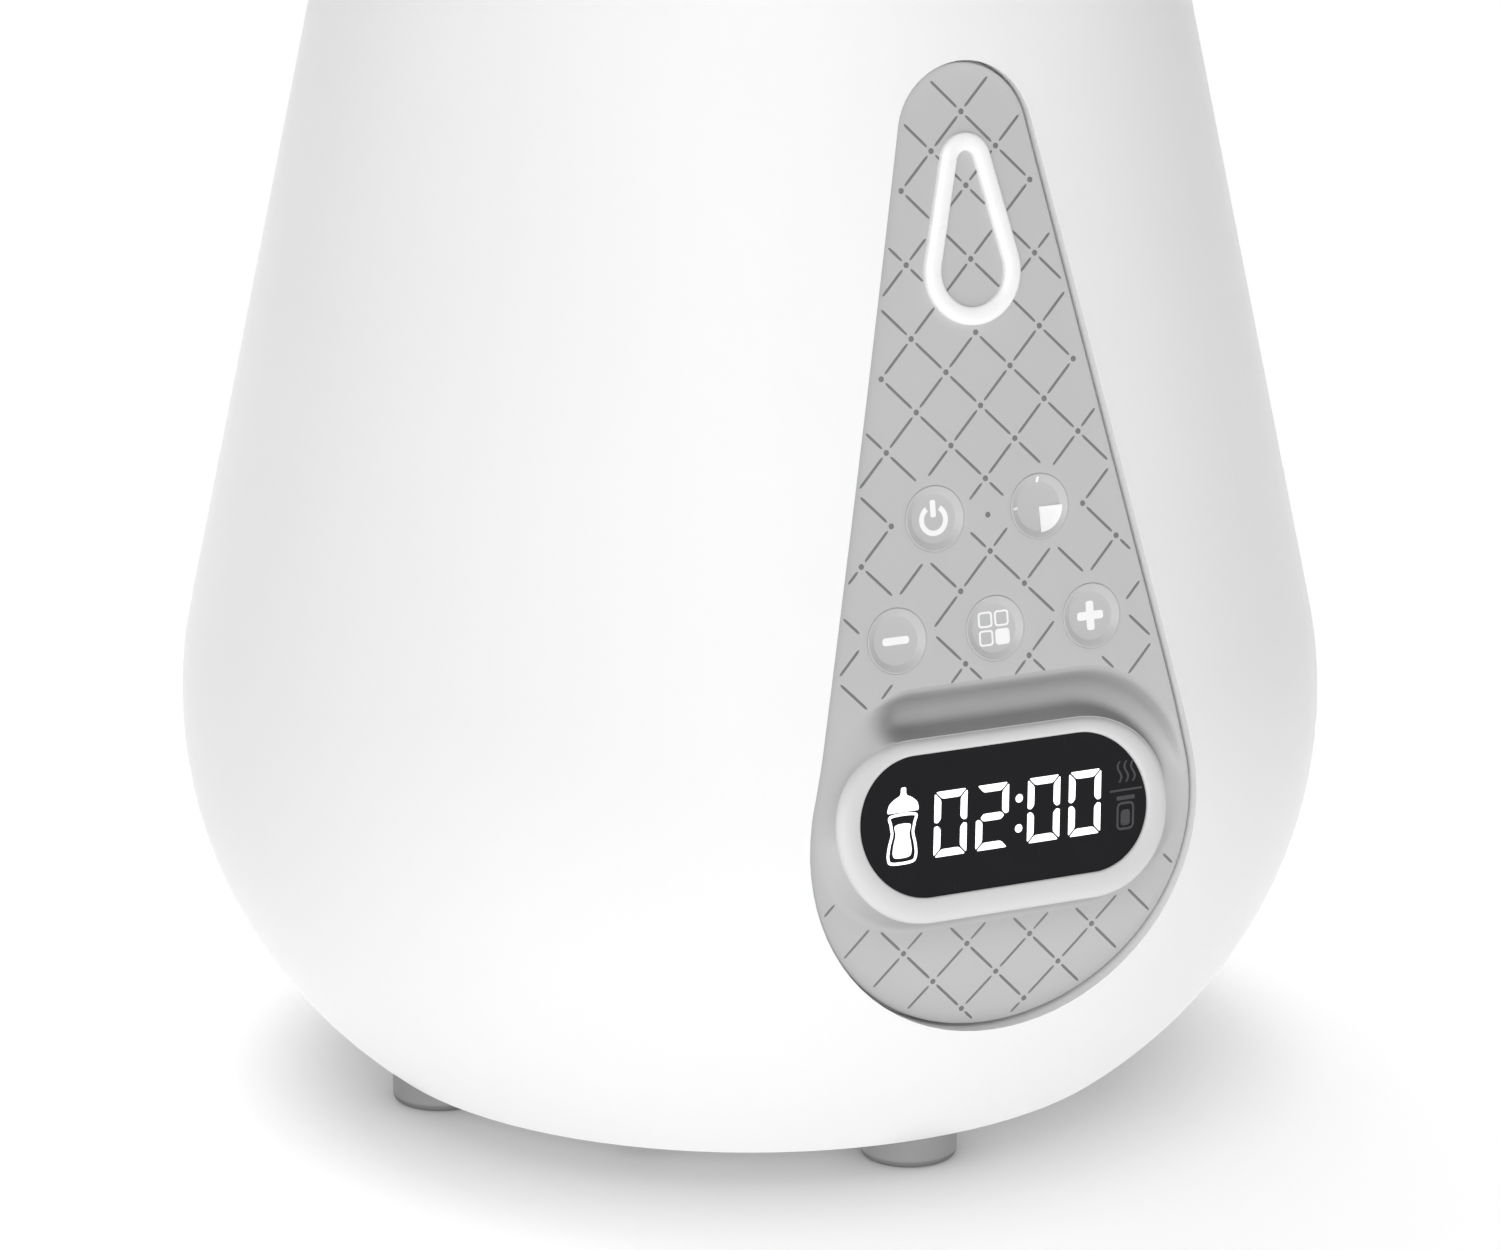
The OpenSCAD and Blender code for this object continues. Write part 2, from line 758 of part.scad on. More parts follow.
// Sloped collar that carries the bezel's proud lower lip
module bezel_collar() {
    intersection() {
        on_display() long_round() polygon([
            [0, -collar_d], [bezel_r + collar_d, -collar_d], [bezel_r + cut, -bezel_round], [0, -bezel_round]
        ]);
        extrude_front(core_d + cut, big) panel_outline(-seam);
        extrude_side(big) in_front(panel_t);
    }
}

module front_panel() {
    color(panel_grey) difference() {
        union() {
            intersection() {
                extrude_front(core_d + cut, big) panel_outline(-seam);
                extrude_side(big) difference() {
                    behind(0);
                    behind(panel_t);
                }
            }
            bezel_collar();
            for (p = post_places)
                on_panel(0, board_mid_z) translate([p[0], p[1], -board_depth])
                    cylinder(r = post_r, h = board_depth - cut);
        }
        on_display() long_round() polygon([
            [0, -big / 10], [bezel_r + slip, -big / 10], [bezel_r + slip, 0],
            [bezel_r + slip + 2 * scoop_w, 2 * scoop_h], [0, 2 * scoop_h]
        ]);
        for (p = button_places)
            on_panel(p[0], p[1]) translate([0, 0, -panel_t - cut])
                cylinder(r = button_r + button_gap, h = panel_t + 2 * cut);
        for (p = post_places)
            on_panel(0, board_mid_z) translate([p[0], p[1], -board_depth - cut])
                cylinder(r = small_screw_r + slip / 2, h = small_screw_l - board_t + cut);
    }
}

module drop_ring() {
    color(white) intersection() {
        extrude_side(big) difference() {
            behind(-ring_h);
            behind(0);
        }
        extrude_front(core_d + cut, big) difference() {
            teardrop(ring_low_r, ring_low_z, ring_high_r, ring_high_z);
            teardrop(ring_low_r, ring_low_z, ring_high_r, ring_high_z, -ring_band);
        }
    }
}

module display_bezel() {
    shelf_top = -glass_sink - glass_t;
    shelf_low = shelf_top - shelf_t;
    inner_r = glass_r + slip;
    color(rim_grey) on_display() long_round() {
        difference() {
            translate([0, -bezel_t]) square([bezel_r, bezel_t]);
            translate([0, -bezel_t - cut]) square([inner_r, bezel_t + 2 * cut]);
            translate([bezel_r - bezel_round, -bezel_round]) difference() {
                square(bezel_round + cut);
                circle(bezel_round);
            }
        }
        translate([glass_r - shelf_w, shelf_low]) square([shelf_w + 2 * slip, shelf_t]);
    }
}

module display_lens() {
    color(black) on_display() long_round()
        translate([0, -glass_sink - glass_t]) square([glass_r, glass_t]);
}

module display_module() {
    color(board_green) on_display() long_round()
        translate([0, -module_back]) square([glass_r, module_t]);
}

// Button with a dished top, a retaining collar behind the panel and a stem over its switch
module button(i) {
    p = button_places[i];
    color(panel_grey) on_panel(p[0], p[1]) {
        difference() {
            translate([0, 0, -collar_top]) rounded_post(button_r, collar_top + button_h, button_round);
            translate([0, 0, button_h - dish_depth])
                cylinder(r1 = dish_r - dish_w, r2 = dish_r + dish_w * cut / dish_depth, h = dish_depth + cut);
        }
        translate([0, 0, -collar_top - button_collar_t])
            cylinder(r = button_r + button_collar_w, h = button_collar_t);
        translate([0, 0, -stem_end]) cylinder(r = stem_r, h = stem_end - collar_top);
    }
}

module power_button() { button(0); }
module start_button() { button(1); }
module minus_button() { button(2); }
module mode_button() { button(3); }
module plus_button() { button(4); }

module control_board() {
    color(board_green) on_panel(0, board_mid_z) {
        translate([0, 0, -board_back]) linear_extrude(board_t) difference() {
            polygon([
                [-board_low_half, board_low_v], [board_low_half, board_low_v],
                [board_high_half, board_low_v + board_l], [-board_high_half, board_low_v + board_l]
            ]);
            for (p = post_places)
                translate(p) circle(small_screw_r + slip);
        }
        translate([-header_w / 2, -header_l / 2, -board_back - header_h])
            cube([header_w, header_l, header_h]);
    }
}

module push_switches() {
    case_h = board_depth - switch_top - switch_pin_h;
    color(black) for (p = button_places)
        on_panel(p[0], p[1]) translate([0, 0, -board_depth]) {
            translate([-switch_w / 2, -switch_w / 2, 0]) cube([switch_w, switch_w, case_h]);
            cylinder(r = switch_pin_r, h = case_h + switch_pin_h);
        }
}

module control_screws() {
    color(steel) for (p = post_places)
        on_panel(0, board_mid_z) translate([p[0], p[1], -board_back])
            screw(small_screw_r, small_screw_l - slip, small_head_r, small_head_h);
}

// Flat ribbon from the control board's header down to the power board's header
module ribbon_cable() {
    header_d = panel_face(board_mid_z) - (board_back + header_h) * cos(panel_tilt);
    header_z = board_mid_z - (board_back + header_h) * sin(panel_tilt);
    drop_d = header_d - 1;
    end_d = power_l / 2 - header_l;
    low_z = power_top + header_h;
    color(silicone) extrude_side(ribbon_w) polygon([
        [header_d, header_z], [drop_d - ribbon_t, header_z], [drop_d - ribbon_t, low_z + ribbon_t],
        [end_d, low_z + ribbon_t], [end_d, low_z], [drop_d, low_z], [drop_d, header_z - ribbon_t],
        [header_d, header_z - ribbon_t]
    ]);
}

module rim_ring() {
    bore_r = chamber_or + slip;
    recess_r = flange_r + slip;
    color(white) rotate_extrude() polygon([
        [bore_r, rim_z], [skirt_or - skirt_wall, rim_z], [skirt_or - skirt_wall, rim_z - skirt_h],
        [skirt_or, rim_z - skirt_h], [skirt_or, rim_z], [cone_rad(rim_z), rim_z],
        [cone_rad(shoulder_z), shoulder_z], [spigot_r, shoulder_z], [spigot_r, spigot_z],
        [recess_r, spigot_z], [recess_r, seat_z], [bore_r, seat_z]
    ]);
}

module water_chamber() {
    color(steel) difference() {
        union() {
            rotate_extrude() polygon([
                [plate_r + slip, floor_under], [chamber_or, floor_under], [chamber_or, flange_z],
                [flange_r, flange_z], [flange_r, spigot_z], [chamber_r, spigot_z], [chamber_r, floor_z],
                [plate_r + slip, floor_z]
            ]);
            for (s = [-1, 1])
                translate([s * clamp_screw_ring, 0, heater_under])
                    cylinder(r = clamp_boss_r, h = floor_under - heater_under);
        }
        for (s = [-1, 1])
            translate([s * clamp_screw_ring, 0, heater_under - cut])
                cylinder(r = screw_r + slip / 2, h = clamp_screw_l + cut);
    }
}

module chamber_gasket() {
    color(silicone) rotate_extrude()
        translate([chamber_or + slip, seat_z]) square([flange_w - slip, gasket_t]);
}

module heating_plate() {
    color(steel) rotate_extrude() polygon([
        [0, plate_under], [plate_flange_r, plate_under], [plate_flange_r, plate_under + plate_flange_t],
        [plate_r, plate_under + plate_flange_t], [plate_r, floor_z], [0, floor_z]
    ]);
}

module plate_seal() {
    color(silicone) rotate_extrude()
        translate([plate_r + slip, floor_under - plate_seal_t]) square([plate_flange_w - slip, plate_seal_t]);
}

module heater_block() {
    color(steel) translate([0, 0, heater_under]) cylinder(r = heater_r, h = heater_h);
}

module heater_clamp() {
    color(steel) difference() {
        translate([-clamp_l / 2, -clamp_w / 2, heater_under - clamp_t]) cube([clamp_l, clamp_w, clamp_t]);
        for (s = [-1, 1])
            translate([s * clamp_screw_ring, 0, heater_under - clamp_t - cut])
                cylinder(r = screw_r + slip, h = clamp_t + 2 * cut);
    }
}

module clamp_screws() {
    color(steel) for (s = [-1, 1])
        translate([s * clamp_screw_ring, 0, heater_under - clamp_t])
            screw(screw_r, clamp_screw_l + clamp_t - slip, clamp_head_r, clamp_head_h);
}

module thermostat() {
    color(black) translate([0, -sensor_ring, plate_under - thermostat_h])
        cylinder(r = thermostat_r, h = thermostat_h);
}

module temperature_probe() {
    color(steel) rotate(45) translate([sensor_ring, 0, plate_under - probe_h])
        cylinder(r = probe_r, h = probe_h);
}

module thermal_fuse() {
    color(white) rotate(135) translate([sensor_ring, -fuse_l / 2, plate_under - fuse_r])
        rotate([-90, 0, 0]) cylinder(r = fuse_r, h = fuse_l);
}

module power_board() {
    color(board_green) {
        difference() {
            translate([-power_w / 2, -power_l / 2, power_z]) cube([power_w, power_l, board_t]);
            for (p = standoff_places)
                translate([p[0], p[1], power_z - cut])
                    cylinder(r = small_screw_r + slip, h = board_t + 2 * cut);
        }
        translate([-header_w / 2, -power_l / 2, power_top]) cube([header_w, 2 * header_l, header_h]);
    }
}

module power_screws() {
    color(steel) for (p = standoff_places)
        translate([p[0], p[1], power_top]) mirror([0, 0, 1])
            screw(small_screw_r, board_t + standoff_screw_l - slip, small_head_r, small_head_h);
}

module transformer() {
    color(black) translate([-transformer_w - part_gap / 2, inner_y - transformer_w, power_top])
        cube([transformer_w, transformer_w, transformer_h]);
}

module relay() {
    color(white) translate([part_gap / 2, inner_y - relay_l, power_top]) cube([relay_w, relay_l, relay_h]);
}

module filter_capacitor() {
    capacitor_y = inner_y - transformer_w - part_gap - capacitor_r;
    color(black) translate([-(transformer_w + part_gap) / 2, capacitor_y, power_top])
        rounded_post(capacitor_r, capacitor_h, capacitor_r / 6);
}

module terminal_block() {
    color(board_green) translate([-terminal_w / 2, terminal_y - terminal_l / 2, power_top])
        cube([terminal_w, terminal_l, terminal_h]);
}

// One lead from each inlet pin to the terminal block
module mains_leads() {
    start_y = inlet_y - inlet_l - pin_tail;
    color(black) for (s = [-1, 1])
        lead([
            [s * pin_pitch / 2, start_y, inlet_z],
            [s * pin_pitch / 2, terminal_y, inlet_z],
            [s * pin_pitch / 2, terminal_y, power_top + terminal_h]
        ], lead_r);
}

// One lead from each side of the terminal block up to the heater block
module heater_leads() {
    lead_x = heater_r / 2;
    rise_y = inner_y + part_gap / 2;
    block_y = sqrt(pow(heater_r, 2) - pow(lead_x - lead_r, 2));
    mid_z = plate_under - heater_h / 2;
    low_z = power_top + terminal_h / 2;
    color(rim_grey) for (s = [-1, 1])
        lead([
            [s * lead_x, terminal_y - terminal_l / 2, low_z],
            [s * lead_x, rise_y, low_z],
            [s * lead_x, rise_y, mid_z],
            [s * lead_x, block_y, mid_z]
        ], lead_r);
}

// Socket with two round lobes
module socket_outline() {
    square([pin_pitch, 2 * socket_r], center = true);
    for (s = [-1, 1])
        translate([s * pin_pitch / 2, 0]) intersection() {
            circle(socket_r);
            translate([s * socket_r, 0]) square(2 * socket_r, center = true);
        }
}

module inlet_pin_places() {
    for (s = [-1, 1])
        translate([s * pin_pitch / 2, 0]) children();
}

module power_inlet() {
    front = inlet_y + inlet_flange_t;
    color(black) difference() {
        union() {
            extrude_back(inlet_y, front) round_rect(inlet_flange_w, inlet_flange_h, recess_round);
            extrude_back(inlet_y - inlet_l, inlet_y) square([inlet_w, inlet_h], center = true);
        }
        extrude_back(front - socket_d, front + cut) socket_outline();
        extrude_back(0, front) inlet_pin_places() circle(pin_r + slip / 2);
    }
}

module inlet_pins() {
    color(steel) extrude_back(inlet_y - inlet_l - pin_tail, inlet_y + inlet_flange_t - pin_tip)
        inlet_pin_places() circle(pin_r);
}

// Section of the lid inside its surface, offset inwards by off
module lid_section(off) {
    r = dome_r - off;
    top_z = dome_z + r * sin(taper);
    line = off + blend;
    polygon([
        [0, lid_low_z], [cone_rad(lid_low_z, line), lid_low_z],
        [cone_rad(top_z, line), top_z], [0, top_z]
    ]);
    intersection() {
        translate([0, dome_z]) circle(r);
        translate([0, top_z - overlap]) square(2 * r);
    }
}

module dome_lid() {
    land_low = land_z - land_t;
    color(clear_plastic) difference() {
        union() {
            rotate_extrude() difference() {
                lid_section(0);
                lid_section(lid_wall);
                translate([0, lid_low_z - cut]) square([lid_inner_r, lid_step_z - lid_low_z + cut]);
            }
            translate([0, 0, land_low]) cylinder(r = land_r, h = land_t);
        }
        translate([0, 0, land_low - cut]) cylinder(r = knob_screw_r + slip, h = land_t + 2 * cut);
        for (a = steam_places)
            rotate(a) translate([steam_ring, 0, dome_z]) cylinder(r = steam_r, h = dome_r + cut);
    }
}

module lid_seal() {
    inner_r = cone_rad(lid_step_z, lid_wall) + slip;
    color(silicone) rotate_extrude()
        translate([inner_r, lid_step_z - lid_seal_t]) square([lid_inner_r - slip - inner_r, lid_seal_t]);
}

module lid_knob() {
    fillet = knob_cap_t / 3;
    color(panel_grey) difference() {
        union() {
            translate([0, 0, land_z]) cylinder(r = knob_neck_r, h = knob_h - knob_cap_t + cut);
            translate([0, 0, land_z + knob_h - knob_cap_t]) rounded_post(knob_r, knob_cap_t, fillet);
        }
        translate([0, 0, land_z - cut]) cylinder(r = knob_screw_r + slip / 2, h = knob_screw_l + cut);
    }
}

module knob_screw() {
    color(steel) translate([0, 0, land_z - land_t])
        screw(knob_screw_r, land_t + knob_screw_l - slip, knob_head_r, knob_head_h);
}

// Hoop of the basket from height z, wide enough to be trimmed round
module hoop(z) {
    rotate_extrude() translate([basket_r - basket_wall, z]) square([basket_wall + cut, hoop_h]);
}

module basket_bars() {
    for (i = [0 : bar_count - 1])
        rotate(i * 360 / bar_count) translate([bar_in, -bar_w / 2, basket_z + hoop_h / 2])
            cube([2 * basket_wall, bar_w, basket_h - hoop_h]);
}

// Flat tab with a round top and a finger hole
module handle_outline() {
    low_z = cage_top - hoop_h / 2;
    hole_z = handle_top - handle_w / 2;
    difference() {
        union() {
            translate([-handle_w / 2, low_z]) square([handle_w, hole_z - low_z]);
            translate([0, hole_z]) intersection() {
                circle(handle_w / 2);
                translate([-handle_w, 0]) square(2 * handle_w);
            }
        }
        translate([0, hole_z]) circle(finger_r);
    }
}

module basket_handles() {
    for (s = [0, 180])
        rotate(s) translate([handle_in, 0, 0]) rotate([90, 0, 90])
            linear_extrude(2 * basket_wall) handle_outline();
}

module bottle_basket() {
    color(white) intersection() {
        cylinder(r = basket_r, h = big);
        union() {
            hoop(basket_z);
            hoop(cage_top - hoop_h);
            basket_bars();
            basket_handles();
            for (a = [0, 90])
                rotate(a) translate([-bar_in, -cross_w / 2, basket_z]) cube([2 * bar_in, cross_w, cross_t]);
        }
    }
}

outer_shell();
base_plate();
foot_front();
foot_right();
foot_back();
foot_left();
base_screws();
front_panel();
drop_ring();
display_bezel();
display_lens();
display_module();
power_button();
start_button();
minus_button();
mode_button();
plus_button();
control_board();
push_switches();
control_screws();
ribbon_cable();
rim_ring();
water_chamber();
chamber_gasket();
heating_plate();
plate_seal();
heater_block();
heater_clamp();
clamp_screws();
thermostat();
temperature_probe();
thermal_fuse();
power_board();
power_screws();
transformer();
relay();
filter_capacitor();
terminal_block();
mains_leads();
heater_leads();
power_inlet();
inlet_pins();
dome_lid();
lid_seal();
lid_knob();
knob_screw();
bottle_basket();
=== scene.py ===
import json
import math

import bmesh
import bpy
import numpy as np
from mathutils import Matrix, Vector
from mathutils.geometry import delaunay_2d_cdt


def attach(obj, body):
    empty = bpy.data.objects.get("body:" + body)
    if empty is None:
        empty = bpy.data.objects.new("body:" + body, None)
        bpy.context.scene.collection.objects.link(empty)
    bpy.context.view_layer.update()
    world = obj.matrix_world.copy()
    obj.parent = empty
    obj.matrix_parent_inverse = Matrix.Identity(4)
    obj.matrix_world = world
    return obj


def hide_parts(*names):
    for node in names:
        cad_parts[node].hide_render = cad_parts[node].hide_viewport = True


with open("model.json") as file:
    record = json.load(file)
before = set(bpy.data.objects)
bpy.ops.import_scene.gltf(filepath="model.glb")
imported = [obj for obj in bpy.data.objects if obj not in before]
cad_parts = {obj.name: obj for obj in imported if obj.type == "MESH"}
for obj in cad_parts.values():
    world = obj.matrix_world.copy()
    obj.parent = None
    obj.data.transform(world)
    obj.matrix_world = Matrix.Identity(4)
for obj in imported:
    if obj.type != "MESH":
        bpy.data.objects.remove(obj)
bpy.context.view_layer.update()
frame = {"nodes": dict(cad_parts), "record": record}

NODES = frame["nodes"]

# Lengths are in millimetres here, and the mesh builders turn them into metres
MM = 0.001

# Body of the warmer
BODY_R = 75.0
BELLY_Z = 51.0
BELLY_R = 59.0
TAPER = math.radians(12.2)

# Teardrop panel, sunk in the body
DROP_LOW_R = 26.8
DROP_LOW_Z = 50.8
DROP_HIGH_R = 9.2
DROP_HIGH_Z = 132.9
DROP = (DROP_LOW_R, DROP_LOW_Z, DROP_HIGH_R, DROP_HIGH_Z)
PANEL_RECESS = 1.1
BEND_Z = 70.0
BEND_R = 130.0
PANEL_GAP = 0.3
PANEL_EDGE = 0.35
# Depth of the skin's walls at its edge and its button holes, and the spacing of its points
PANEL_WALL = 1.8
PANEL_SPACING = 0.7

# Teardrop ring
RING_LOW_R = 6.5
RING_LOW_Z = 117.2
RING_HIGH_R = 3.4
RING_HIGH_Z = 130.1
RING_DROP = (RING_LOW_R, RING_LOW_Z, RING_HIGH_R, RING_HIGH_Z)
RING_DETAIL = 0.6
RING_BAND = 2.2
RING_H = 0.9

# Tilted display
DISPLAY_Z = 51.9
DISPLAY_PROUD = 0.9
DISPLAY_TILT = math.radians(16)
GLASS_R = 8.75
GLASS_HALF = 11.25
GLASS_SINK = 0.4
BEZEL_W = 2.9
RIM_LAP = 1.2
RIM_DROP = 0.7
SURROUND_UP = 6.6
SURROUND_DOWN = 3.2
SURROUND_SIDE = 3.0
SCOOP_DEPTH = 4.8
# Section of the scoop above the display, as shares of its width outwards from the rim and of its depth
SCOOP_SECTION = (
    (0.1, 0.72), (0.2, 0.93), (0.3, 1.0), (0.42, 1.0), (0.55, 0.95),
    (0.68, 0.8), (0.8, 0.48), (0.9, 0.16), (1.0, 0.0),
)
# How fast the scoop fades out round the display's left and right end
SCOOP_FADE_LEFT = 20
SCOOP_FADE_RIGHT = 1.5

# Buttons
BUTTON_R = 4.0
BUTTON_GAP = 0.02
BUTTON_EDGE = 0.04
# Section of a button, as radius and height above the panel's face
CAP_SECTION = (
    (0.0, -0.4), (1.5, -0.4), (2.85, -0.4), (2.98, -0.385), (3.1, -0.33), (3.7, 0.03),
    (3.8, 0.08), (3.88, 0.1), (3.96, 0.07), (4.0, 0.0), (4.0, -1.2),
)
# Side distance and height of each button, by node
BUTTONS = {
    "power_button": (-7.2, 88.4),
    "start_button": (7.2, 88.4),
    "minus_button": (-13.4, 74.5),
    "mode_button": (0.0, 74.5),
    "plus_button": (13.4, 74.5),
}

# Shares of the surround's width where its slope gets a ring of points
SURROUND_STEPS = (-0.12, 0, 0.05, 0.1, 0.15, 0.2, 0.3, 0.42, 0.55, 0.62, 0.68, 0.74, 0.8, 0.85, 0.9, 0.95)

# Quilted lattice on the panel: half diagonals of a diamond, and one crossing on the centre line
QUILT_ACROSS = 4.38
QUILT_ALONG = 4.405
QUILT_START = 66.81
QUILT_COLUMNS = range(-7, 8)
QUILT_ROWS = range(-2, 27)
# Points along a diamond's side, those that its dash covers, and the share of them that has to stay
QUILT_POINTS = 41
QUILT_DASH = slice(6, 35)
QUILT_SHARE = 0.25
QUILT_LINE = 0.4
QUILT_DOT = 0.36
# One more dot, by column and row, in the middle of the diamond between the two upper buttons
LONE_DOT = (0, 11)
# How far the quilting keeps clear of other features
QUILT_FROM_EDGE = 0.9
QUILT_FROM_RING = 0.3
QUILT_IN_RING = 0.15
QUILT_FROM_BUTTON = 1.3
QUILT_FROM_SURROUND = 0.1

# Heights of a raised mark's foot, just under the surface that it stands on, and of its top
MARK_FOOT = -0.02
MARK_TOP = 0.05

# Inner points of a filled outline: distance of their rows and from the outline, as shares of their spacing
LATTICE_ROWS = 0.87
LATTICE_CLEAR = 0.6
# Step outwards that finds the slope of a surface at its edge
TANGENT_STEP = 0.01


def body_radius(z):
    """Radius of the body's outer surface at height z."""
    join_z = BELLY_Z + BELLY_R * math.sin(TAPER)
    if z < join_z:
        return BODY_R - BELLY_R + math.sqrt(BELLY_R ** 2 - (z - BELLY_Z) ** 2)
    join_r = BODY_R - BELLY_R + BELLY_R * math.cos(TAPER)
    return join_r - (z - join_z) * math.tan(TAPER)


# Where the panel's flat part bends under, and its tilt from the vertical
DROP_LEAN = math.asin((DROP_LOW_R - DROP_HIGH_R) / (DROP_HIGH_Z - DROP_LOW_Z))
BEND_HALF = (DROP_LOW_R - (BEND_Z - DROP_LOW_Z) * math.sin(DROP_LEAN)) / math.cos(DROP_LEAN)
BEND_D = math.sqrt(body_radius(BEND_Z) ** 2 - BEND_HALF ** 2) - PANEL_RECESS
TIP_Z = DROP_HIGH_Z + DROP_HIGH_R
TIP_D = body_radius(TIP_Z) - PANEL_RECESS
PANEL_TILT = math.atan((BEND_D - TIP_D) / (TIP_Z - BEND_Z))
BEND_CD = BEND_D - BEND_R * math.cos(PANEL_TILT)
BEND_CZ = BEND_Z - BEND_R * math.sin(PANEL_TILT)
DISPLAY_D = BEND_CD + BEND_R + DISPLAY_PROUD


def panel_angle(v):
    """Angle of the panel's normal above the horizontal at length v up the panel from its bend."""
    return PANEL_TILT + min(v, 0.0) / BEND_R


def panel_normal(v):
    angle = panel_angle(v)
    return Vector((0, -math.cos(angle), math.sin(angle)))


def panel_point(x, v, h=0.0):
    """Point at side distance x and length v up the panel, at height h above its face."""
    if v >= 0:
        foot = Vector((x, v * math.sin(PANEL_TILT) - BEND_D, BEND_Z + v * math.cos(PANEL_TILT)))
    else:
        angle = panel_angle(v)
        foot = Vector((x, -BEND_CD - BEND_R * math.cos(angle), BEND_CZ + BEND_R * math.sin(angle)))
    return foot + panel_normal(v) * h


def face_length(z):
    """Length up the panel of the place on its face at height z."""
    if z >= BEND_Z:
        return (z - BEND_Z) / math.cos(PANEL_TILT)
    return (math.asin((z - BEND_CZ) / BEND_R) - PANEL_TILT) * BEND_R


def panel_length(point):
    """Length up the panel of the foot of the perpendicular from a point."""
    d = -point.y
    v = (BEND_D - d) * math.sin(PANEL_TILT) + (point.z - BEND_Z) * math.cos(PANEL_TILT)
    if v >= 0:
        return v
    return (math.atan2(point.z - BEND_CZ, d - BEND_CD) - PANEL_TILT) * BEND_R


def display_point(a, b, c=0.0):
    """Point at side distance a and height b on the display's rim plane, c in front of it."""
    d = DISPLAY_D - b * math.sin(DISPLAY_TILT) + c * math.cos(DISPLAY_TILT)
    z = DISPLAY_Z + b * math.cos(DISPLAY_TILT) + c * math.sin(DISPLAY_TILT)
    return Vector((a, -d, z))


def display_reach(x, v):
    """At a place on the panel: height of the rim plane above it, distance outside the rim, share upwards."""
    foot = panel_point(x, v)
    angle = panel_angle(v)
    d = -foot.y - DISPLAY_D
    z = foot.z - DISPLAY_Z
    out = d * math.cos(DISPLAY_TILT) + z * math.sin(DISPLAY_TILT)
    height = -out / math.cos(angle - DISPLAY_TILT)
    b = z * math.cos(DISPLAY_TILT) - d * math.sin(DISPLAY_TILT) + height * math.sin(angle - DISPLAY_TILT)
    side = max(abs(x) - GLASS_HALF, 0.0)
    reach = math.hypot(side, b)
    upwards = b / max(reach, 1e-6)
    return height, reach - GLASS_R - rim_width(upwards), upwards


def rim_width(upwards):
    """Width of the display's rim in sight, by direction: the scoop above the display laps over it."""
    return BEZEL_W - RIM_LAP * max(upwards, 0.0) ** 3


def surround_width(upwards):
    """Width of the slope between the display's rim and the panel, by direction."""
    far = SURROUND_UP if upwards > 0 else SURROUND_DOWN
    return SURROUND_SIDE + (far - SURROUND_SIDE) * upwards ** 2


def surround_height(x, v):
    """Height of the panel's skin above its face: it slopes from the display's rim, into a scoop above it."""
    height, outside, upwards = display_reach(x, v)
    t = min(max(outside / surround_width(upwards), 0.0), 1.0)
    rim = height - RIM_DROP
    reaches, depths = np.transpose(SCOOP_SECTION)
    scoop = np.interp(t, np.append(0, reaches), np.append(rim, -SCOOP_DEPTH * depths))
    share = max(upwards, 0.0) ** (SCOOP_FADE_LEFT if x < 0 else SCOOP_FADE_RIGHT)
    return (1 - share) * rim * (1 - t) ** 2 + share * scoop


def panel_skin_point(p):
    return panel_point(p[0], p[1], surround_height(p[0], p[1]))


# Outlines are closed loops of points, counter-clockwise, made of arcs and straight runs

def arc(centre, r, start, end, count):
    angles = np.linspace(start, end, count)
    return [(centre[0] + r * math.cos(a), centre[1] + r * math.sin(a)) for a in angles]


def straight(p, q, count):
    """Points between p and q, without the two ends."""
    return [tuple(np.array(p) + (np.array(q) - np.array(p)) * i / count) for i in range(1, count)]


def circle(centre, r, count=64):
    return arc(centre, r, 0, 2 * math.pi, count + 1)[:-1]


def teardrop(low_r, low_z, high_r, high_z, grow=0.0, detail=1.0):
    """Two circles joined by their tangents, in side distance and height."""
    lean = math.asin((low_r - high_r) / (high_z - low_z))
    low = arc((0, low_z), low_r + grow, -math.pi - lean, lean, int(96 * detail) + 1)
    high = arc((0, high_z), high_r + grow, lean, math.pi - lean, int(48 * detail) + 1)
    sides = int(96 * detail)
    return low + straight(low[-1], high[0], sides) + high + straight(high[-1], low[0], sides)


def panel_teardrop(drop, grow, detail=1.0):
    """Teardrop on the panel, in side distance and length up the panel."""
    return [(x, face_length(z)) for x, z in teardrop(*drop, grow, detail)]


def stadium(half, r, count=40):
    """Two half circles and the straight runs between them."""
    right = arc((half, 0), r, -math.pi / 2, math.pi / 2, count + 1)
    left = arc((-half, 0), r, math.pi / 2, 3 * math.pi / 2, count + 1)
    return right + straight(right[-1], left[0], count) + left + straight(left[-1], right[0], count)


def round_rect(w, h, r, centre=(0, 0), count=8):
    """Rectangle with round corners, from its upper right one on."""
    x = w / 2 - r
    y = h / 2 - r
    loop = []
    for quarter, (a, b) in enumerate([(x, y), (-x, y), (-x, -y), (x, -y)]):
        start = quarter * math.pi / 2
        loop += arc((centre[0] + a, centre[1] + b), r, start, start + math.pi / 2, count)
    return loop


def loop_normals(loop):
    """Outward unit normals of a counter-clockwise loop."""
    points = np.array(loop)
    along = np.roll(points, -1, axis=0) - np.roll(points, 1, axis=0)
    normals = np.stack([along[:, 1], -along[:, 0]], axis=1)
    return normals / np.linalg.norm(normals, axis=1)[:, None]


def offset_loop(loop, distance):
    return [tuple(p) for p in np.array(loop) + loop_normals(loop) * distance]


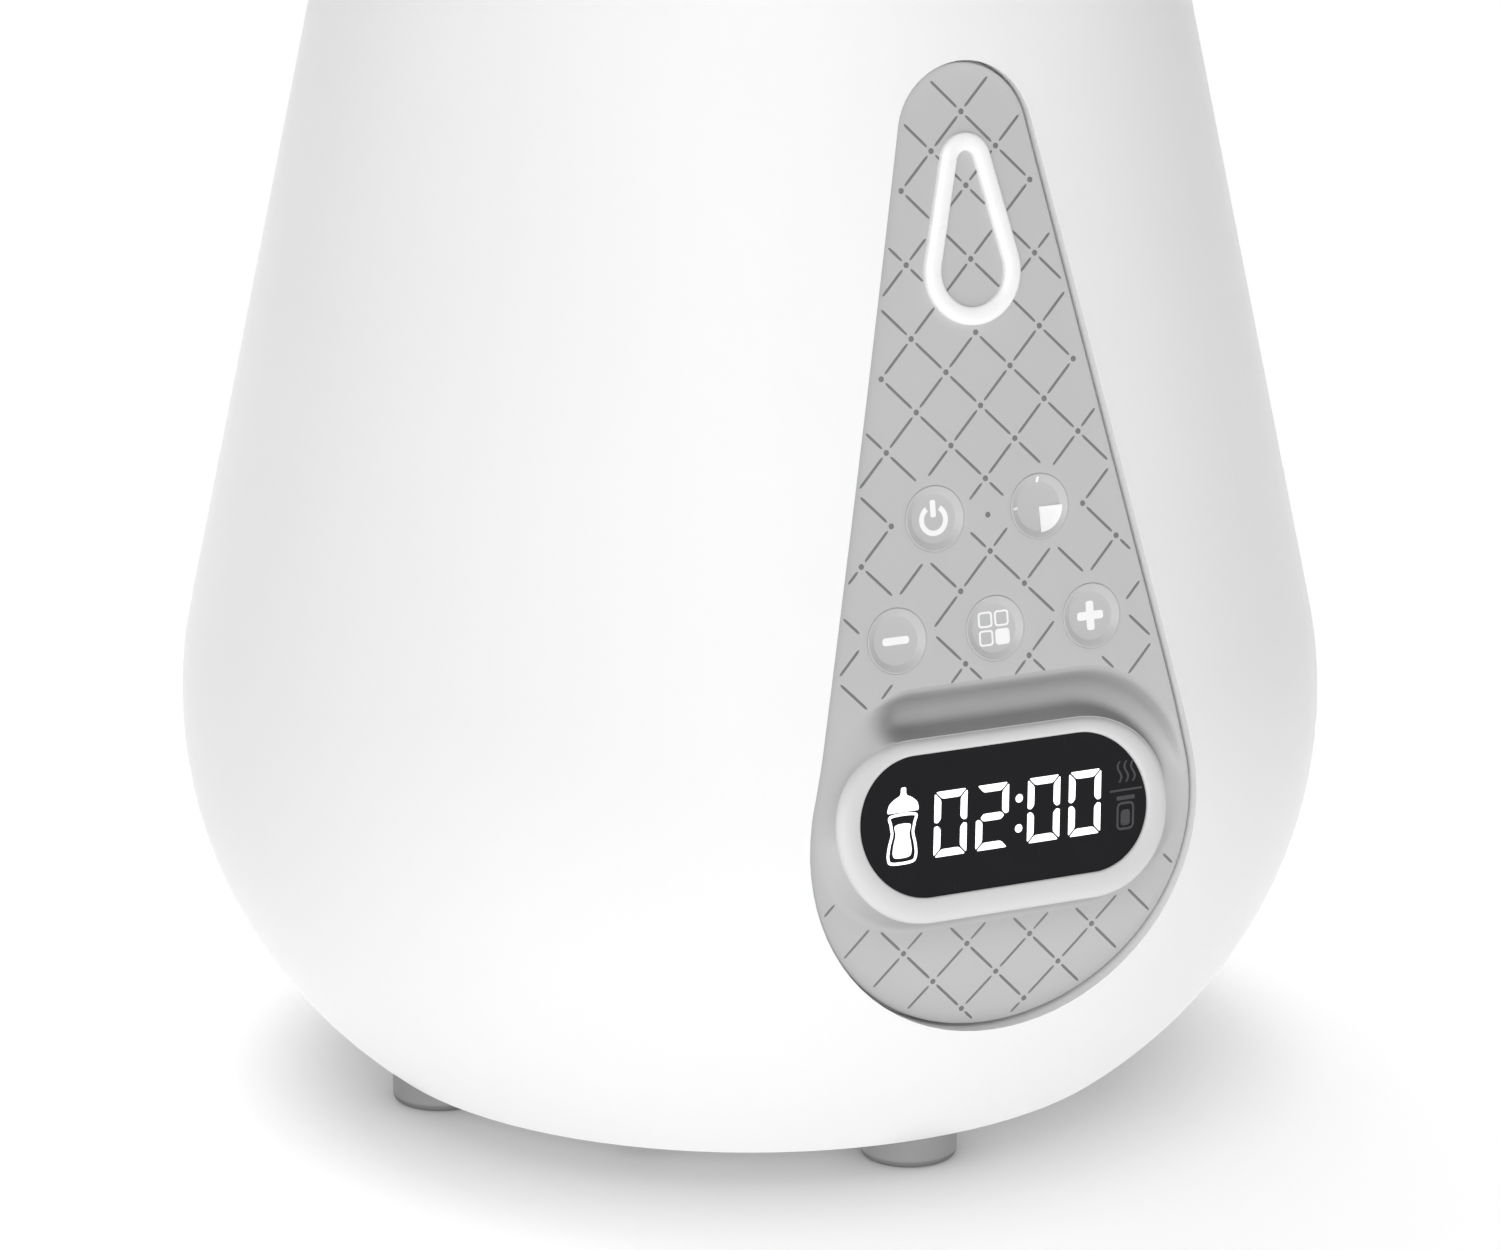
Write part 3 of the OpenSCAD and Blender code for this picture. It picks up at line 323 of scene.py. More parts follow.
def inside(points, loop):
    """For each point, whether it lies inside the loop."""
    points = np.asarray(points, float)
    ring = np.asarray(loop, float)
    found = np.zeros(len(points), bool)
    for (x0, y0), (x1, y1) in zip(ring, np.roll(ring, -1, axis=0)):
        if y0 == y1:
            continue
        crosses = (y0 > points[:, 1]) != (y1 > points[:, 1])
        found ^= crosses & (points[:, 0] < x0 + (points[:, 1] - y0) * (x1 - x0) / (y1 - y0))
    return found


def lattice(loop, spacing):
    """Evenly spread points over a loop's box, in staggered rows."""
    low = np.min(loop, axis=0)
    high = np.max(loop, axis=0)
    points = []
    for row, y in enumerate(np.arange(low[1] + spacing / 2, high[1], spacing * LATTICE_ROWS)):
        xs = np.arange(low[0] + spacing / 2 * (1 + row % 2), high[0], spacing)
        points += [(x, y) for x in xs]
    return np.array(points).reshape(-1, 2)


class Shape:
    """Vertices in millimetres, and faces, on their way to becoming one mesh."""

    def __init__(self):
        self.points = []
        self.faces = []

    def add(self, point):
        self.points.append(Vector(point))
        return len(self.points) - 1

    def ring(self, points):
        return [self.add(p) for p in points]

    def bridge(self, first, second, closed=True):
        """Quads between two rings of equal length."""
        count = len(first)
        for i in range(count if closed else count - 1):
            j = (i + 1) % count
            self.faces.append((first[i], first[j], second[j], second[i]))

    def loft(self, rings, closed=True):
        """Quads between the neighbours in a row of rings."""
        for first, second in zip(rings, rings[1:]):
            self.bridge(first, second, closed)

    def fan(self, ring, point):
        tip = self.add(point)
        for i in range(len(ring)):
            self.faces.append((ring[i], ring[(i + 1) % len(ring)], tip))

    def fill(self, place, outer, holes=(), spacing=0):
        """Triangles over an outline with holes; returns the index ring of each loop."""
        loops = [outer] + list(holes)
        flat = [p for loop in loops for p in loop]
        if spacing:
            clear = LATTICE_CLEAR * spacing
            grid = lattice(outer, spacing)
            keep = inside(grid, offset_loop(outer, -clear))
            for hole in holes:
                keep &= ~inside(grid, offset_loop(hole, clear))
            flat += [tuple(p) for p in grid[keep]]
        edges = []
        rings = []
        start = 0
        for loop in loops:
            count = len(loop)
            edges += [(start + i, start + (i + 1) % count) for i in range(count)]
            rings.append(range(start, start + count))
            start += count
        result = delaunay_2d_cdt([Vector(p) for p in flat], edges, [], 0, 1e-7)
        verts, faces, origins = result[0], result[2], result[3]
        centres = np.array([np.mean([verts[i][:] for i in f], axis=0) for f in faces])
        keep = inside(centres, outer)
        for hole in holes:
            keep &= ~inside(centres, hole)
        index = [self.add(place(v)) for v in verts]
        self.faces += [tuple(index[i] for i in f) for f, k in zip(faces, keep) if k]
        where = {source: index[i] for i, sources in enumerate(origins) for source in sources}
        return [[where[i] for i in ring] for ring in rings]

    def round_over(self, ring, place, loop, outward, wall, radius, depth, steps=4):
        """Rounds a filled loop's edge over towards the void, then drops a wall of that depth."""
        normals = loop_normals(loop) * outward
        rings = [ring]
        starts = [self.points[i].copy() for i in ring]
        tangents = []
        walls = []
        for p, n, start in zip(loop, normals, starts):
            ahead = place((p[0] + n[0] * TANGENT_STEP, p[1] + n[1] * TANGENT_STEP))
            tangents.append((ahead - start).normalized())
            walls.append(wall(p))
        for k in range(1, steps + 1):
            a = k / steps * math.pi / 2
            rings.append(self.ring(
                s + t * (radius * math.sin(a)) + w * (radius * (1 - math.cos(a)))
                for s, t, w in zip(starts, tangents, walls)))
        rings.append(self.ring(self.points[i] + w * depth for i, w in zip(rings[-1], walls)))
        self.loft(rings)

    def plate(self, place, outer, holes=(), spacing=0):
        """Thin raised mark: a filled top, and walls down to just under the surface."""
        rings = self.fill(lambda p: place(p[0], p[1], MARK_TOP), outer, holes, spacing)
        for ring, loop in zip(rings, [outer] + list(holes)):
            self.bridge(ring, self.ring(place(p[0], p[1], MARK_FOOT) for p in loop))

    def build(self, name, sharp=35):
        """The finished mesh object, with smooth faces and edges sharper than an angle kept sharp."""
        mesh = bpy.data.meshes.new(name)
        mesh.from_pydata([p * MM for p in self.points], [], self.faces)
        work = bmesh.new()
        work.from_mesh(mesh)
        loose = [v for v in work.verts if not v.link_faces]
        bmesh.ops.delete(work, geom=loose, context="VERTS")
        bmesh.ops.recalc_face_normals(work, faces=work.faces)
        work.to_mesh(mesh)
        work.free()
        mesh.shade_smooth()
        mesh.set_sharp_from_angle(angle=math.radians(sharp))
        obj = bpy.data.objects.new(name, mesh)
        bpy.context.scene.collection.objects.link(obj)
        return obj


def dress(obj, material, body, slot, *nodes):
    """Gives a piece its finish and its body, and hides the nodes that it stands for; the slot is not used.
    """
    obj.data.materials.clear()
    obj.data.materials.append(material)
    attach(obj, body)
    if nodes:
        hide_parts(*nodes)


# Materials

def new_material(name):
    mat = bpy.data.materials.new(name)
    mat.use_nodes = True
    tree = mat.node_tree
    return mat, tree.nodes, tree.links, tree.nodes["Principled BSDF"]


def object_noise(nodes, links, scale, detail=3.0):
    """Noise over object coordinates, where a scale of 1 is one feature a millimetre."""
    coords = nodes.new("ShaderNodeTexCoord")
    noise = nodes.new("ShaderNodeTexNoise")
    noise.inputs["Scale"].default_value = scale / MM
    noise.inputs["Detail"].default_value = detail
    links.new(coords.outputs["Object"], noise.inputs["Vector"])
    return noise.outputs["Fac"]


# Most of a noise's values lie between these
NOISE_LOW = 0.3
NOISE_HIGH = 0.7


def spread(nodes, links, value, low, high):
    """Maps the usual values of a noise to a range."""
    ramp = nodes.new("ShaderNodeMapRange")
    ramp.inputs["From Min"].default_value = NOISE_LOW
    ramp.inputs["From Max"].default_value = NOISE_HIGH
    ramp.inputs["To Min"].default_value = low
    ramp.inputs["To Max"].default_value = high
    links.new(value, ramp.inputs["Value"])
    return ramp.outputs["Result"]


def two_tones(nodes, links, value, first, second):
    mix = nodes.new("ShaderNodeMix")
    mix.data_type = "RGBA"
    mix.inputs["A"].default_value = (*first, 1)
    mix.inputs["B"].default_value = (*second, 1)
    links.new(value, mix.inputs["Factor"])
    return mix.outputs["Result"]


def grain_bump(nodes, links, bsdf, value, strength, distance):
    bump = nodes.new("ShaderNodeBump")
    bump.inputs["Strength"].default_value = strength
    bump.inputs["Distance"].default_value = distance * MM
    links.new(value, bump.inputs["Height"])
    links.new(bump.outputs["Normal"], bsdf.inputs["Normal"])


def moulded(name, colour, roughness, tone=0.02, grain=1.5, relief=0.1, relief_mm=0.02,
            coat=0.0, shine=0.5, painted_shade_reach=0.0):
    """Moulded plastic or rubber: faint tone drift, uneven gloss and a fine grain, darker in hollows by
    painted shade where asked.
    """
    mat, nodes, links, bsdf = new_material(name)
    drift = object_noise(nodes, links, 0.04, 2.0)
    dark = [c * (1 - tone) for c in colour]
    light = [min(c * (1 + tone), 1.0) for c in colour]
    tint = two_tones(nodes, links, drift, dark, light)
    # Where asked, ambient occlusion darkens the colour in hollows and creases within that reach in
    # millimetres: painted shade.
    if painted_shade_reach:
        shade = nodes.new("ShaderNodeAmbientOcclusion")
        shade.only_local = True
        shade.inputs["Distance"].default_value = painted_shade_reach * MM
        links.new(tint, shade.inputs["Color"])
        tint = shade.outputs["Color"]
    links.new(tint, bsdf.inputs["Base Color"])
    fine = object_noise(nodes, links, grain)
    rough = spread(nodes, links, fine, roughness * 0.88, roughness * 1.12)
    links.new(rough, bsdf.inputs["Roughness"])
    grain_bump(nodes, links, bsdf, fine, relief, relief_mm)
    bsdf.inputs["Specular IOR Level"].default_value = shine
    bsdf.inputs["Coat Weight"].default_value = coat
    bsdf.inputs["Coat Roughness"].default_value = 0.12
    return mat


def metal(name, colour, roughness, stretch=(1, 1, 12), relief=0.08):
    """Metal with fine lines or grain: noise squeezed along each axis by its stretch sets the gloss."""
    mat, nodes, links, bsdf = new_material(name)
    bsdf.inputs["Metallic"].default_value = 1.0
    coords = nodes.new("ShaderNodeTexCoord")
    mapping = nodes.new("ShaderNodeMapping")
    mapping.inputs["Scale"].default_value = stretch
    links.new(coords.outputs["Object"], mapping.inputs["Vector"])
    lines = nodes.new("ShaderNodeTexNoise")
    lines.inputs["Scale"].default_value = 0.25 / MM
    lines.inputs["Detail"].default_value = 4.0
    links.new(mapping.outputs["Vector"], lines.inputs["Vector"])
    fac = lines.outputs["Fac"]
    dark = [c * 0.9 for c in colour]
    links.new(two_tones(nodes, links, fac, dark, colour), bsdf.inputs["Base Color"])
    links.new(spread(nodes, links, fac, roughness * 0.75, roughness * 1.25), bsdf.inputs["Roughness"])
    grain_bump(nodes, links, bsdf, fac, relief, 0.02)
    return mat


def glowing(name, colour, tinge, strength):
    """Lit display segment: one colour, unevenly mixed with a little of another."""
    mat, nodes, links, bsdf = new_material(name)
    fac = object_noise(nodes, links, 0.8)
    glow = two_tones(nodes, links, spread(nodes, links, fac, 0.0, 0.35), colour, tinge)
    links.new(glow, bsdf.inputs["Emission Color"])
    bsdf.inputs["Emission Strength"].default_value = strength
    bsdf.inputs["Base Color"].default_value = (*colour, 1)
    bsdf.inputs["Roughness"].default_value = 0.3
    return mat


def clear_plastic(name, tint, roughness):
    """Clear moulded plastic with faint flow marks."""
    mat, nodes, links, bsdf = new_material(name)
    flow = object_noise(nodes, links, 0.05, 2.0)
    pale = [min(c * 1.02, 1.0) for c in tint]
    links.new(two_tones(nodes, links, flow, tint, pale), bsdf.inputs["Base Color"])
    links.new(spread(nodes, links, flow, roughness * 0.7, roughness * 1.3), bsdf.inputs["Roughness"])
    bsdf.inputs["Transmission Weight"].default_value = 0.92
    bsdf.inputs["IOR"].default_value = 1.46
    grain_bump(nodes, links, bsdf, flow, 0.05, 0.1)
    return mat


def circuit_board(name, colour):
    """Solder resist over faint copper tracks."""
    mat, nodes, links, bsdf = new_material(name)
    coords = nodes.new("ShaderNodeTexCoord")
    tracks = nodes.new("ShaderNodeTexBrick")
    tracks.inputs["Scale"].default_value = 0.12 / MM
    tracks.inputs["Color1"].default_value = (*colour, 1)
    tracks.inputs["Color2"].default_value = (*[c * 1.25 for c in colour], 1)
    tracks.inputs["Mortar"].default_value = (*[c * 1.6 for c in colour], 1)
    tracks.inputs["Mortar Size"].default_value = 0.03
    links.new(coords.outputs["Object"], tracks.inputs["Vector"])
    links.new(tracks.outputs["Color"], bsdf.inputs["Base Color"])
    fine = object_noise(nodes, links, 0.6)
    links.new(spread(nodes, links, fine, 0.3, 0.45), bsdf.inputs["Roughness"])
    return mat


SHELL = moulded("shell_white", (0.86, 0.86, 0.865), 0.4, tone=0.01, grain=0.5, relief=0.03, shine=0.2)
# The panel's colour carries painted shade within 7 mm of its own walls, most of all in the scoop above the
# display.
PANEL = moulded("panel_grey", (0.49, 0.49, 0.495), 0.46, grain=3.0, relief=0.16, painted_shade_reach=7.0)
BUTTON = moulded("button_grey", (0.49, 0.49, 0.495), 0.42, grain=3.0, relief=0.12)
RIM = moulded("rim_grey", (0.66, 0.66, 0.66), 0.4, grain=3.0)
RING = moulded("ring_white", (0.9, 0.9, 0.9), 0.3, tone=0.01, grain=1.0, relief=0.04, coat=0.3)
QUILT = moulded("quilt_grey", (0.16, 0.16, 0.163), 0.5, tone=0.08, grain=2.0)
GLASS = moulded("display_black", (0.009, 0.009, 0.0105), 0.25, tone=0.1, grain=0.3, relief=0.0,
                relief_mm=0.01, shine=0.12)
MARK = moulded("mark_white", (0.9, 0.9, 0.9), 0.4, tone=0.01, grain=2.0, relief=0.05, relief_mm=0.01)
GHOST = moulded("ghost_grey", (0.035, 0.034, 0.038), 0.3, tone=0.1, grain=2.0, relief=0.05, relief_mm=0.01)
LIT = glowing("segment_light", (1.0, 1.0, 1.0), (0.78, 0.76, 1.0), 1.0)
RUBBER = moulded("foot_rubber", (0.24, 0.24, 0.24), 0.65, tone=0.05, grain=1.2, relief=0.25, relief_mm=0.03)
SILICONE = moulded("silicone", (0.7, 0.7, 0.68), 0.5, tone=0.03, grain=1.0)
STEEL = metal("steel", (0.62, 0.63, 0.65), 0.28)
SCREW = metal("screw_steel", (0.55, 0.56, 0.58), 0.32, stretch=(4, 4, 4))
ALUMINIUM = metal("aluminium", (0.66, 0.67, 0.68), 0.4, stretch=(3, 3, 3), relief=0.2)
BRASS = metal("pin_brass", (0.72, 0.55, 0.25), 0.25, stretch=(12, 1, 12))
BOARD = circuit_board("board_green", (0.02, 0.11, 0.05))
BLACK = moulded("part_black", (0.02, 0.02, 0.022), 0.45, tone=0.15, relief=0.15)
WHITE = moulded("part_white", (0.75, 0.75, 0.73), 0.45, tone=0.03)
CLEAR = clear_plastic("lid_clear", (0.82, 0.87, 0.89), 0.06)
BASKET = moulded("basket_white", (0.8, 0.8, 0.8), 0.38, tone=0.015, grain=1.0, relief=0.08)

SLOT_MATERIALS = {
    "shell_white": SHELL, "panel_grey": PANEL, "button_grey": BUTTON, "rim_grey": RIM, "ring_white": RING,
    "display_black": GLASS, "foot_rubber": RUBBER, "silicone": SILICONE, "steel": STEEL,
    "screw_steel": SCREW, "aluminium": ALUMINIUM, "board_green": BOARD, "part_black": BLACK,
    "part_white": WHITE, "pin_brass": BRASS, "lid_clear": CLEAR, "basket_white": BASKET,
}


def dress_nodes():
    """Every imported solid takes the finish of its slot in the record."""
    for subpart in frame["record"]["subparts"]:
        obj = NODES[subpart["node"]]
        obj.data.materials.clear()
        obj.data.materials.append(SLOT_MATERIALS[subpart["material_slot"]])


# Pieces

def surround_loop(t):
    """Loop round the display at a share t of its surround, in side distance and length up the panel."""
    glass = stadium(GLASS_HALF, GLASS_R, 72)
    loop = []
    for (a, b), (side, up) in zip(glass, loop_normals(glass)):
        reach = rim_width(up) + t * surround_width(up)
        loop.append((a + side * reach, panel_length(display_point(a + side * reach, b + up * reach))))
    return loop


def build_panel():
    """Panel skin with round edges that slopes to the display's rim."""
    outer = panel_teardrop(DROP, -PANEL_GAP - PANEL_EDGE)
    hole_r = BUTTON_R + BUTTON_GAP + BUTTON_EDGE
    holes = [circle((x, face_length(z)), hole_r) for x, z in BUTTONS.values()]
    shape = Shape()
    rings = shape.fill(panel_skin_point, outer, [surround_loop(1)] + holes, PANEL_SPACING)
    slope = [shape.ring(panel_skin_point(p) for p in surround_loop(t)) for t in SURROUND_STEPS]
    shape.loft(slope + [rings[1]])

    def into(p):
        return -panel_normal(p[1])

    shape.round_over(rings[0], panel_skin_point, outer, 1, into, PANEL_EDGE, PANEL_WALL)
    for ring, hole in zip(rings[2:], holes):
        shape.round_over(ring, panel_skin_point, hole, -1, into, BUTTON_EDGE, PANEL_WALL)
    dress(shape.build("panel_skin", 40), PANEL, "base", "panel_grey", "front_panel")


def build_bezel():
    """Pale rim around the display glass that rolls over into the panel."""
    # Shares of the rim's width, and heights above its plane
    profile = [
        (-0.07, -GLASS_SINK), (-0.07, -0.2), (-0.03, -0.06), (0.04, 0.02), (0.24, 0.05),
        (0.45, 0.03), (0.66, -0.07), (0.81, -0.26), (0.91, -0.47), (1.0, -RIM_DROP), (1.0, -2.2),
    ]
    glass = stadium(GLASS_HALF, GLASS_R, 48)
    normals = loop_normals(glass)
    shape = Shape()
    rings = []
    for share, c in profile:
        reaches = [share * rim_width(up) for side, up in normals]
        rings.append(shape.ring(
            display_point(a + side * reach, b + up * reach, c)
            for (a, b), (side, up), reach in zip(glass, normals, reaches)))
    shape.loft(rings)
    dress(shape.build("bezel_rim", 60), RIM, "base", "rim_grey", "display_bezel")


def build_buttons():
    """Buttons with a dished top and a round edge."""
    for node, (x, z) in BUTTONS.items():
        v = face_length(z)
        shape = Shape()
        rings = [
            shape.ring(panel_point(x + a, v + b, h) for a, b in circle((0, 0), r))
            for r, h in CAP_SECTION[1:]
        ]
        shape.loft(rings)
        shape.fan(rings[0], panel_point(x, v, CAP_SECTION[0][1]))
        dress(shape.build(node.replace("_button", "_cap"), 60), BUTTON, node, "button_grey", node)


def build_ring():
    """Teardrop ring with a soft round section."""
    # Distances inwards from the ring's outside, and shares of its height
    section = [(0.0, -0.05), (0.0, 0.5), (0.1, 0.7), (0.32, 0.85), (0.7, 0.95), (1.1, 0.98)]
    section += [(RING_BAND - inset, h) for inset, h in reversed(section[:-1])]
    shape = Shape()
    rings = []
    for inset, h in section:
        loop = panel_teardrop(RING_DROP, -inset, RING_DETAIL)
        rings.append(shape.ring(panel_point(x, v, h * RING_H) for x, v in loop))
    shape.loft(rings)
    dress(shape.build("ring_band", 50), RING, "base", "ring_white", "drop_ring")


def quilt_allowed(points):
    """Which points of the panel carry the quilting: clear of its edge, the ring, buttons and display."""
    points = np.asarray(points, float)
    allowed = inside(points, panel_teardrop(DROP, -PANEL_GAP - QUILT_FROM_EDGE))
    outer = panel_teardrop(RING_DROP, QUILT_FROM_RING)
    inner = panel_teardrop(RING_DROP, -RING_BAND - QUILT_IN_RING)
    allowed &= ~inside(points, outer) | inside(points, inner)
    for x, z in BUTTONS.values():
        away = np.hypot(points[:, 0] - x, points[:, 1] - face_length(z))
        allowed &= away > BUTTON_R + QUILT_FROM_BUTTON
    for i, (x, v) in enumerate(points):
        outside, upwards = display_reach(x, v)[1:]
        allowed[i] &= outside > surround_width(upwards) + QUILT_FROM_SURROUND
    return allowed


def build_quilting():
    """Stitched diamonds: a dash along each side and a dot at each crossing."""
    def crossing(i, j):
        return np.array([i * QUILT_ACROSS, QUILT_START - j * QUILT_ALONG])

    dots = []
    runs = []
    for i in QUILT_COLUMNS:
        for j in QUILT_ROWS:
            if (i + j) % 2:
                continue
            dots.append(crossing(i, j))
            for step in (-1, 1):
                side = np.linspace(dots[-1], crossing(i + step, j + 1), QUILT_POINTS)
                runs.append(side[QUILT_DASH])
    dots.append(crossing(*LONE_DOT))
    shape = Shape()
    for centre, allowed in zip(dots, quilt_allowed(dots)):
        if allowed:
            add_dot(shape, centre)
    count = len(runs[0])
    kept = quilt_allowed(np.concatenate(runs)).reshape(-1, count)
    for run, keep in zip(runs, kept):
        if keep.sum() > count * QUILT_SHARE:
            add_dash(shape, run[keep])
    dress(shape.build("quilt_stitches", 60), QUILT, "base", "panel_grey")


def add_dot(shape, centre):
    """Low round stitch at a crossing."""
    section = [(QUILT_DOT, MARK_FOOT), (QUILT_DOT, 0.03), (QUILT_DOT * 0.6, 0.06)]
    rings = [shape.ring(panel_point(x, v, h) for x, v in circle(centre, r, 12)) for r, h in section]
    shape.loft(rings)
    shape.fan(rings[-1], panel_point(*centre, 0.07))


def add_dash(shape, run):
    """Low rounded stitch along a run of points."""
    along = (run[-1] - run[0]) / np.linalg.norm(run[-1] - run[0])
    across = np.array([-along[1], along[0]])
    half = QUILT_LINE / 2
    section = [(-half, MARK_FOOT), (-half * 0.6, 0.04), (0, 0.055), (half * 0.6, 0.04), (half, MARK_FOOT)]
    # Places along the dash, and the share of its width there
    stations = [(run[0] - along * half, 0.15), (run[0], 0.8)]
    stations += [(p, 1.0) for p in run[2:-2:6]] + [(run[-1], 0.8), (run[-1] + along * half, 0.15)]
    rows = []
    for p, width in stations:
        rows.append(shape.ring(panel_point(*(p + across * (s * width)), h) for s, h in section))
    shape.loft(rows, closed=False)


def on_button(node):
    """Places marks on a button's dished top, in side distance and height from its centre."""
    x, z = BUTTONS[node]
    v = face_length(z)
    radii, heights = zip(*CAP_SECTION[:-3])
    return lambda a, b, h: panel_point(x + a, v + b, np.interp(math.hypot(a, b), radii, heights) + h)


def power_mark(shape, place):
    """Open ring with an upright bar in its gap."""
    gap = math.radians(33)
    start = math.pi / 2 + gap
    end = 5 * math.pi / 2 - gap
    ring = arc((0, -0.15), 1.95, start, end, 40) + arc((0, -0.15), 1.3, end, start, 40)
    shape.plate(place, ring)
    shape.plate(place, round_rect(0.72, 2.1, 0.25, (0, 1.2)))


def start_mark(shape, place):
    """Quarter of a dial, with a tick at the top and at the left."""
    shape.plate(place, [(0.1, -0.1)] + arc((0.1, -0.1), 3.1, -math.pi / 2, 0, 24), spacing=0.4)
    shape.plate(place, round_rect(0.34, 0.75, 0.12, (0, 3.25)))
    shape.plate(place, round_rect(0.75, 0.34, 0.12, (-3.25, 0)))


def minus_mark(shape, place):
    shape.plate(place, round_rect(3.6, 0.95, 0.4))


def plus_mark(shape, place):
    half, thick, r = 1.8, 0.52, 0.3
    loop = []
    for quarter in range(4):
        turn = quarter * math.pi / 2
        corner = [(thick, thick)] + arc((thick - r, half - r), r, 0, math.pi / 2, 6)
        corner += arc((r - thick, half - r), r, math.pi / 2, math.pi, 6)
        loop += [(x * math.cos(turn) - y * math.sin(turn), x * math.sin(turn) + y * math.cos(turn))
                 for x, y in corner]
    shape.plate(place, loop)


def mode_mark(shape, place):
    """Four small squares, of which the lower right one is filled."""
    side, line, pitch = 1.95, 0.24, 1.12
    for x in (-pitch, pitch):
        for y in (-pitch, pitch):
            filled = x > 0 > y
            hole = round_rect(side - 2 * line, side - 2 * line, 0.25, (x, y))
            shape.plate(place, round_rect(side, side, 0.45, (x, y)), [] if filled else [hole])


def build_button_marks():
    marks = {
        "power_button": power_mark, "start_button": start_mark, "minus_button": minus_mark,
        "mode_button": mode_mark, "plus_button": plus_mark,
    }
    for node, draw in marks.items():
        shape = Shape()
        draw(shape, on_button(node))
        dress(shape.build(node.replace("_button", "_symbol")), MARK, node, "ring_white")


def on_glass(a, b, h):
    return display_point(a, b, h - GLASS_SINK)


# Segments of a digit, by the letters that name them
DIGITS = {"0": "abcdef", "2": "abged"}
DIGIT_W = 4.5
DIGIT_H = 7.8
DIGIT_LINE = 0.9
DIGIT_GAP = 0.14
DIGIT_ROUND = 0.3
DIGIT_SLANT = math.tan(math.radians(9.4))
DIGIT_PLACES = ((-7.5, "0"), (-1.75, "2"), (5.4, "0"), (11.15, "0"))
COLON_X = 1.95
COLON_HEIGHTS = (1.7, -1.9)
COLON_R = 0.5


def on_sign(centre):
    """Places marks on the glass around a centre, slanted like the digits."""
    return lambda a, b, h: on_glass(centre[0] + a + b * DIGIT_SLANT, centre[1] + b, h)


def segment(letter):
    """Outline of one segment, with mitred ends and small gaps."""
    w, h, s, g = DIGIT_W / 2, DIGIT_H / 2, DIGIT_LINE, DIGIT_GAP
    cross = [(g - w, h), (w - g, h), (w - s - g, h - s), (s + g - w, h - s)]
    middle = [(g - w + s / 2, 0), (g - w + s, s / 2), (w - s - g, s / 2), (w - s / 2 - g, 0),
              (w - s - g, -s / 2), (g - w + s, -s / 2)]
    upright = [(w, h - g), (w, g + s * 0.15), (w - s * 0.5, g), (w - s, g + s / 2), (w - s, h - s - g)]
    outlines = {
        "a": cross, "d": [(x, -y) for x, y in cross], "g": middle,
        "b": upright, "c": [(x, -y) for x, y in upright],
        "f": [(-x, y) for x, y in upright], "e": [(-x, -y) for x, y in upright],
    }
    return outlines[letter]


def counter_clockwise(loop):
    points = np.array(loop)
    area = np.sum(points[:, 0] * np.roll(points[:, 1], -1) - np.roll(points[:, 0], -1) * points[:, 1])
    return loop if area > 0 else loop[::-1]


def eased(loop, r, count=4):
    """A polygon with its corners rounded by r at most."""
    points = [np.array(p, float) for p in loop]
    result = []
    for i, p in enumerate(points):
        before = points[i - 1] - p
        after = points[(i + 1) % len(points)] - p
        reach = min(r, 0.4 * np.linalg.norm(before), 0.4 * np.linalg.norm(after))
        start = p + before / np.linalg.norm(before) * reach
        end = p + after / np.linalg.norm(after) * reach
        for t in np.linspace(0, 1, count):
            result.append(tuple(start * (1 - t) ** 2 + p * 2 * t * (1 - t) + end * t ** 2))
    return result


def slanted(loop, x):
    return [(a + x + b * DIGIT_SLANT, b) for a, b in loop]


def build_digits():
    """Four digits and the colon between them."""
    shape = Shape()
    for x, digit in DIGIT_PLACES:
        for letter in DIGITS[digit]:
            loop = counter_clockwise(eased(segment(letter), DIGIT_ROUND))
            shape.plate(on_glass, slanted(loop, x))
    for b in COLON_HEIGHTS:
        shape.plate(on_glass, slanted(circle((0, b), COLON_R, 20), COLON_X))
    dress(shape.build("display_digits"), LIT, "base", "display_black")


def smooth_loop(points, per_point=8):
    """Closed smooth curve through a few points."""
    ring = np.array(points, float)
    count = len(ring)
    result = []
    for i in range(count):
        p0, p1, p2, p3 = (ring[(i + k) % count] for k in (-1, 0, 1, 2))
        for t in np.linspace(0, 1, per_point, endpoint=False):
            result.append(tuple(0.5 * (2 * p1 + (p2 - p0) * t + (2 * p0 - 5 * p1 + 4 * p2 - p3) * t ** 2
                                       + (3 * p1 - p0 - 3 * p2 + p3) * t ** 3)))
    return result


def mirrored(half):
    """A right-hand run of points from top to bottom, closed by its mirror image."""
    return counter_clockwise(half + [(-x, y) for x, y in reversed(half)])


BOTTLE_PLACE = (-14.0, 0.35)


def build_bottle_mark():
    """Feeding bottle: teat, collar, waisted wall and the milk inside."""
    place = on_sign(BOTTLE_PLACE)
    shape = Shape()
    cap = mirrored([(0.34, 4.7), (0.36, 3.75), (1.2, 3.4), (1.95, 2.8), (2.15, 2.0), (2.05, 1.75)])
    shape.plate(place, eased(cap, 0.35))
    wall = smooth_loop(mirrored(
        [(1.75, 1.5), (1.75, 0.2), (1.6, -0.8), (1.95, -2.2), (2.05, -3.6), (1.4, -4.4)]))
    shape.plate(place, wall, [offset_loop(wall, -0.34)])
    milk = smooth_loop(mirrored([(0.98, 0.25), (0.93, -0.9), (1.2, -2.2), (1.25, -3.2), (0.8, -3.65)]))
    shape.plate(place, milk)
    dress(shape.build("display_bottle"), LIT, "base", "display_black")


STEAM_PLACE = (16.95, 0.1)


def wavy_line(x, low, high, width, sway):
    ys = np.linspace(low, high, 16)
    xs = x + sway * np.sin((ys - low) / (high - low) * 2 * math.pi)
    right = [(a + width / 2, b) for a, b in zip(xs, ys)]
    left = [(a - width / 2, b) for a, b in zip(xs, ys)]
    return right + left[::-1]


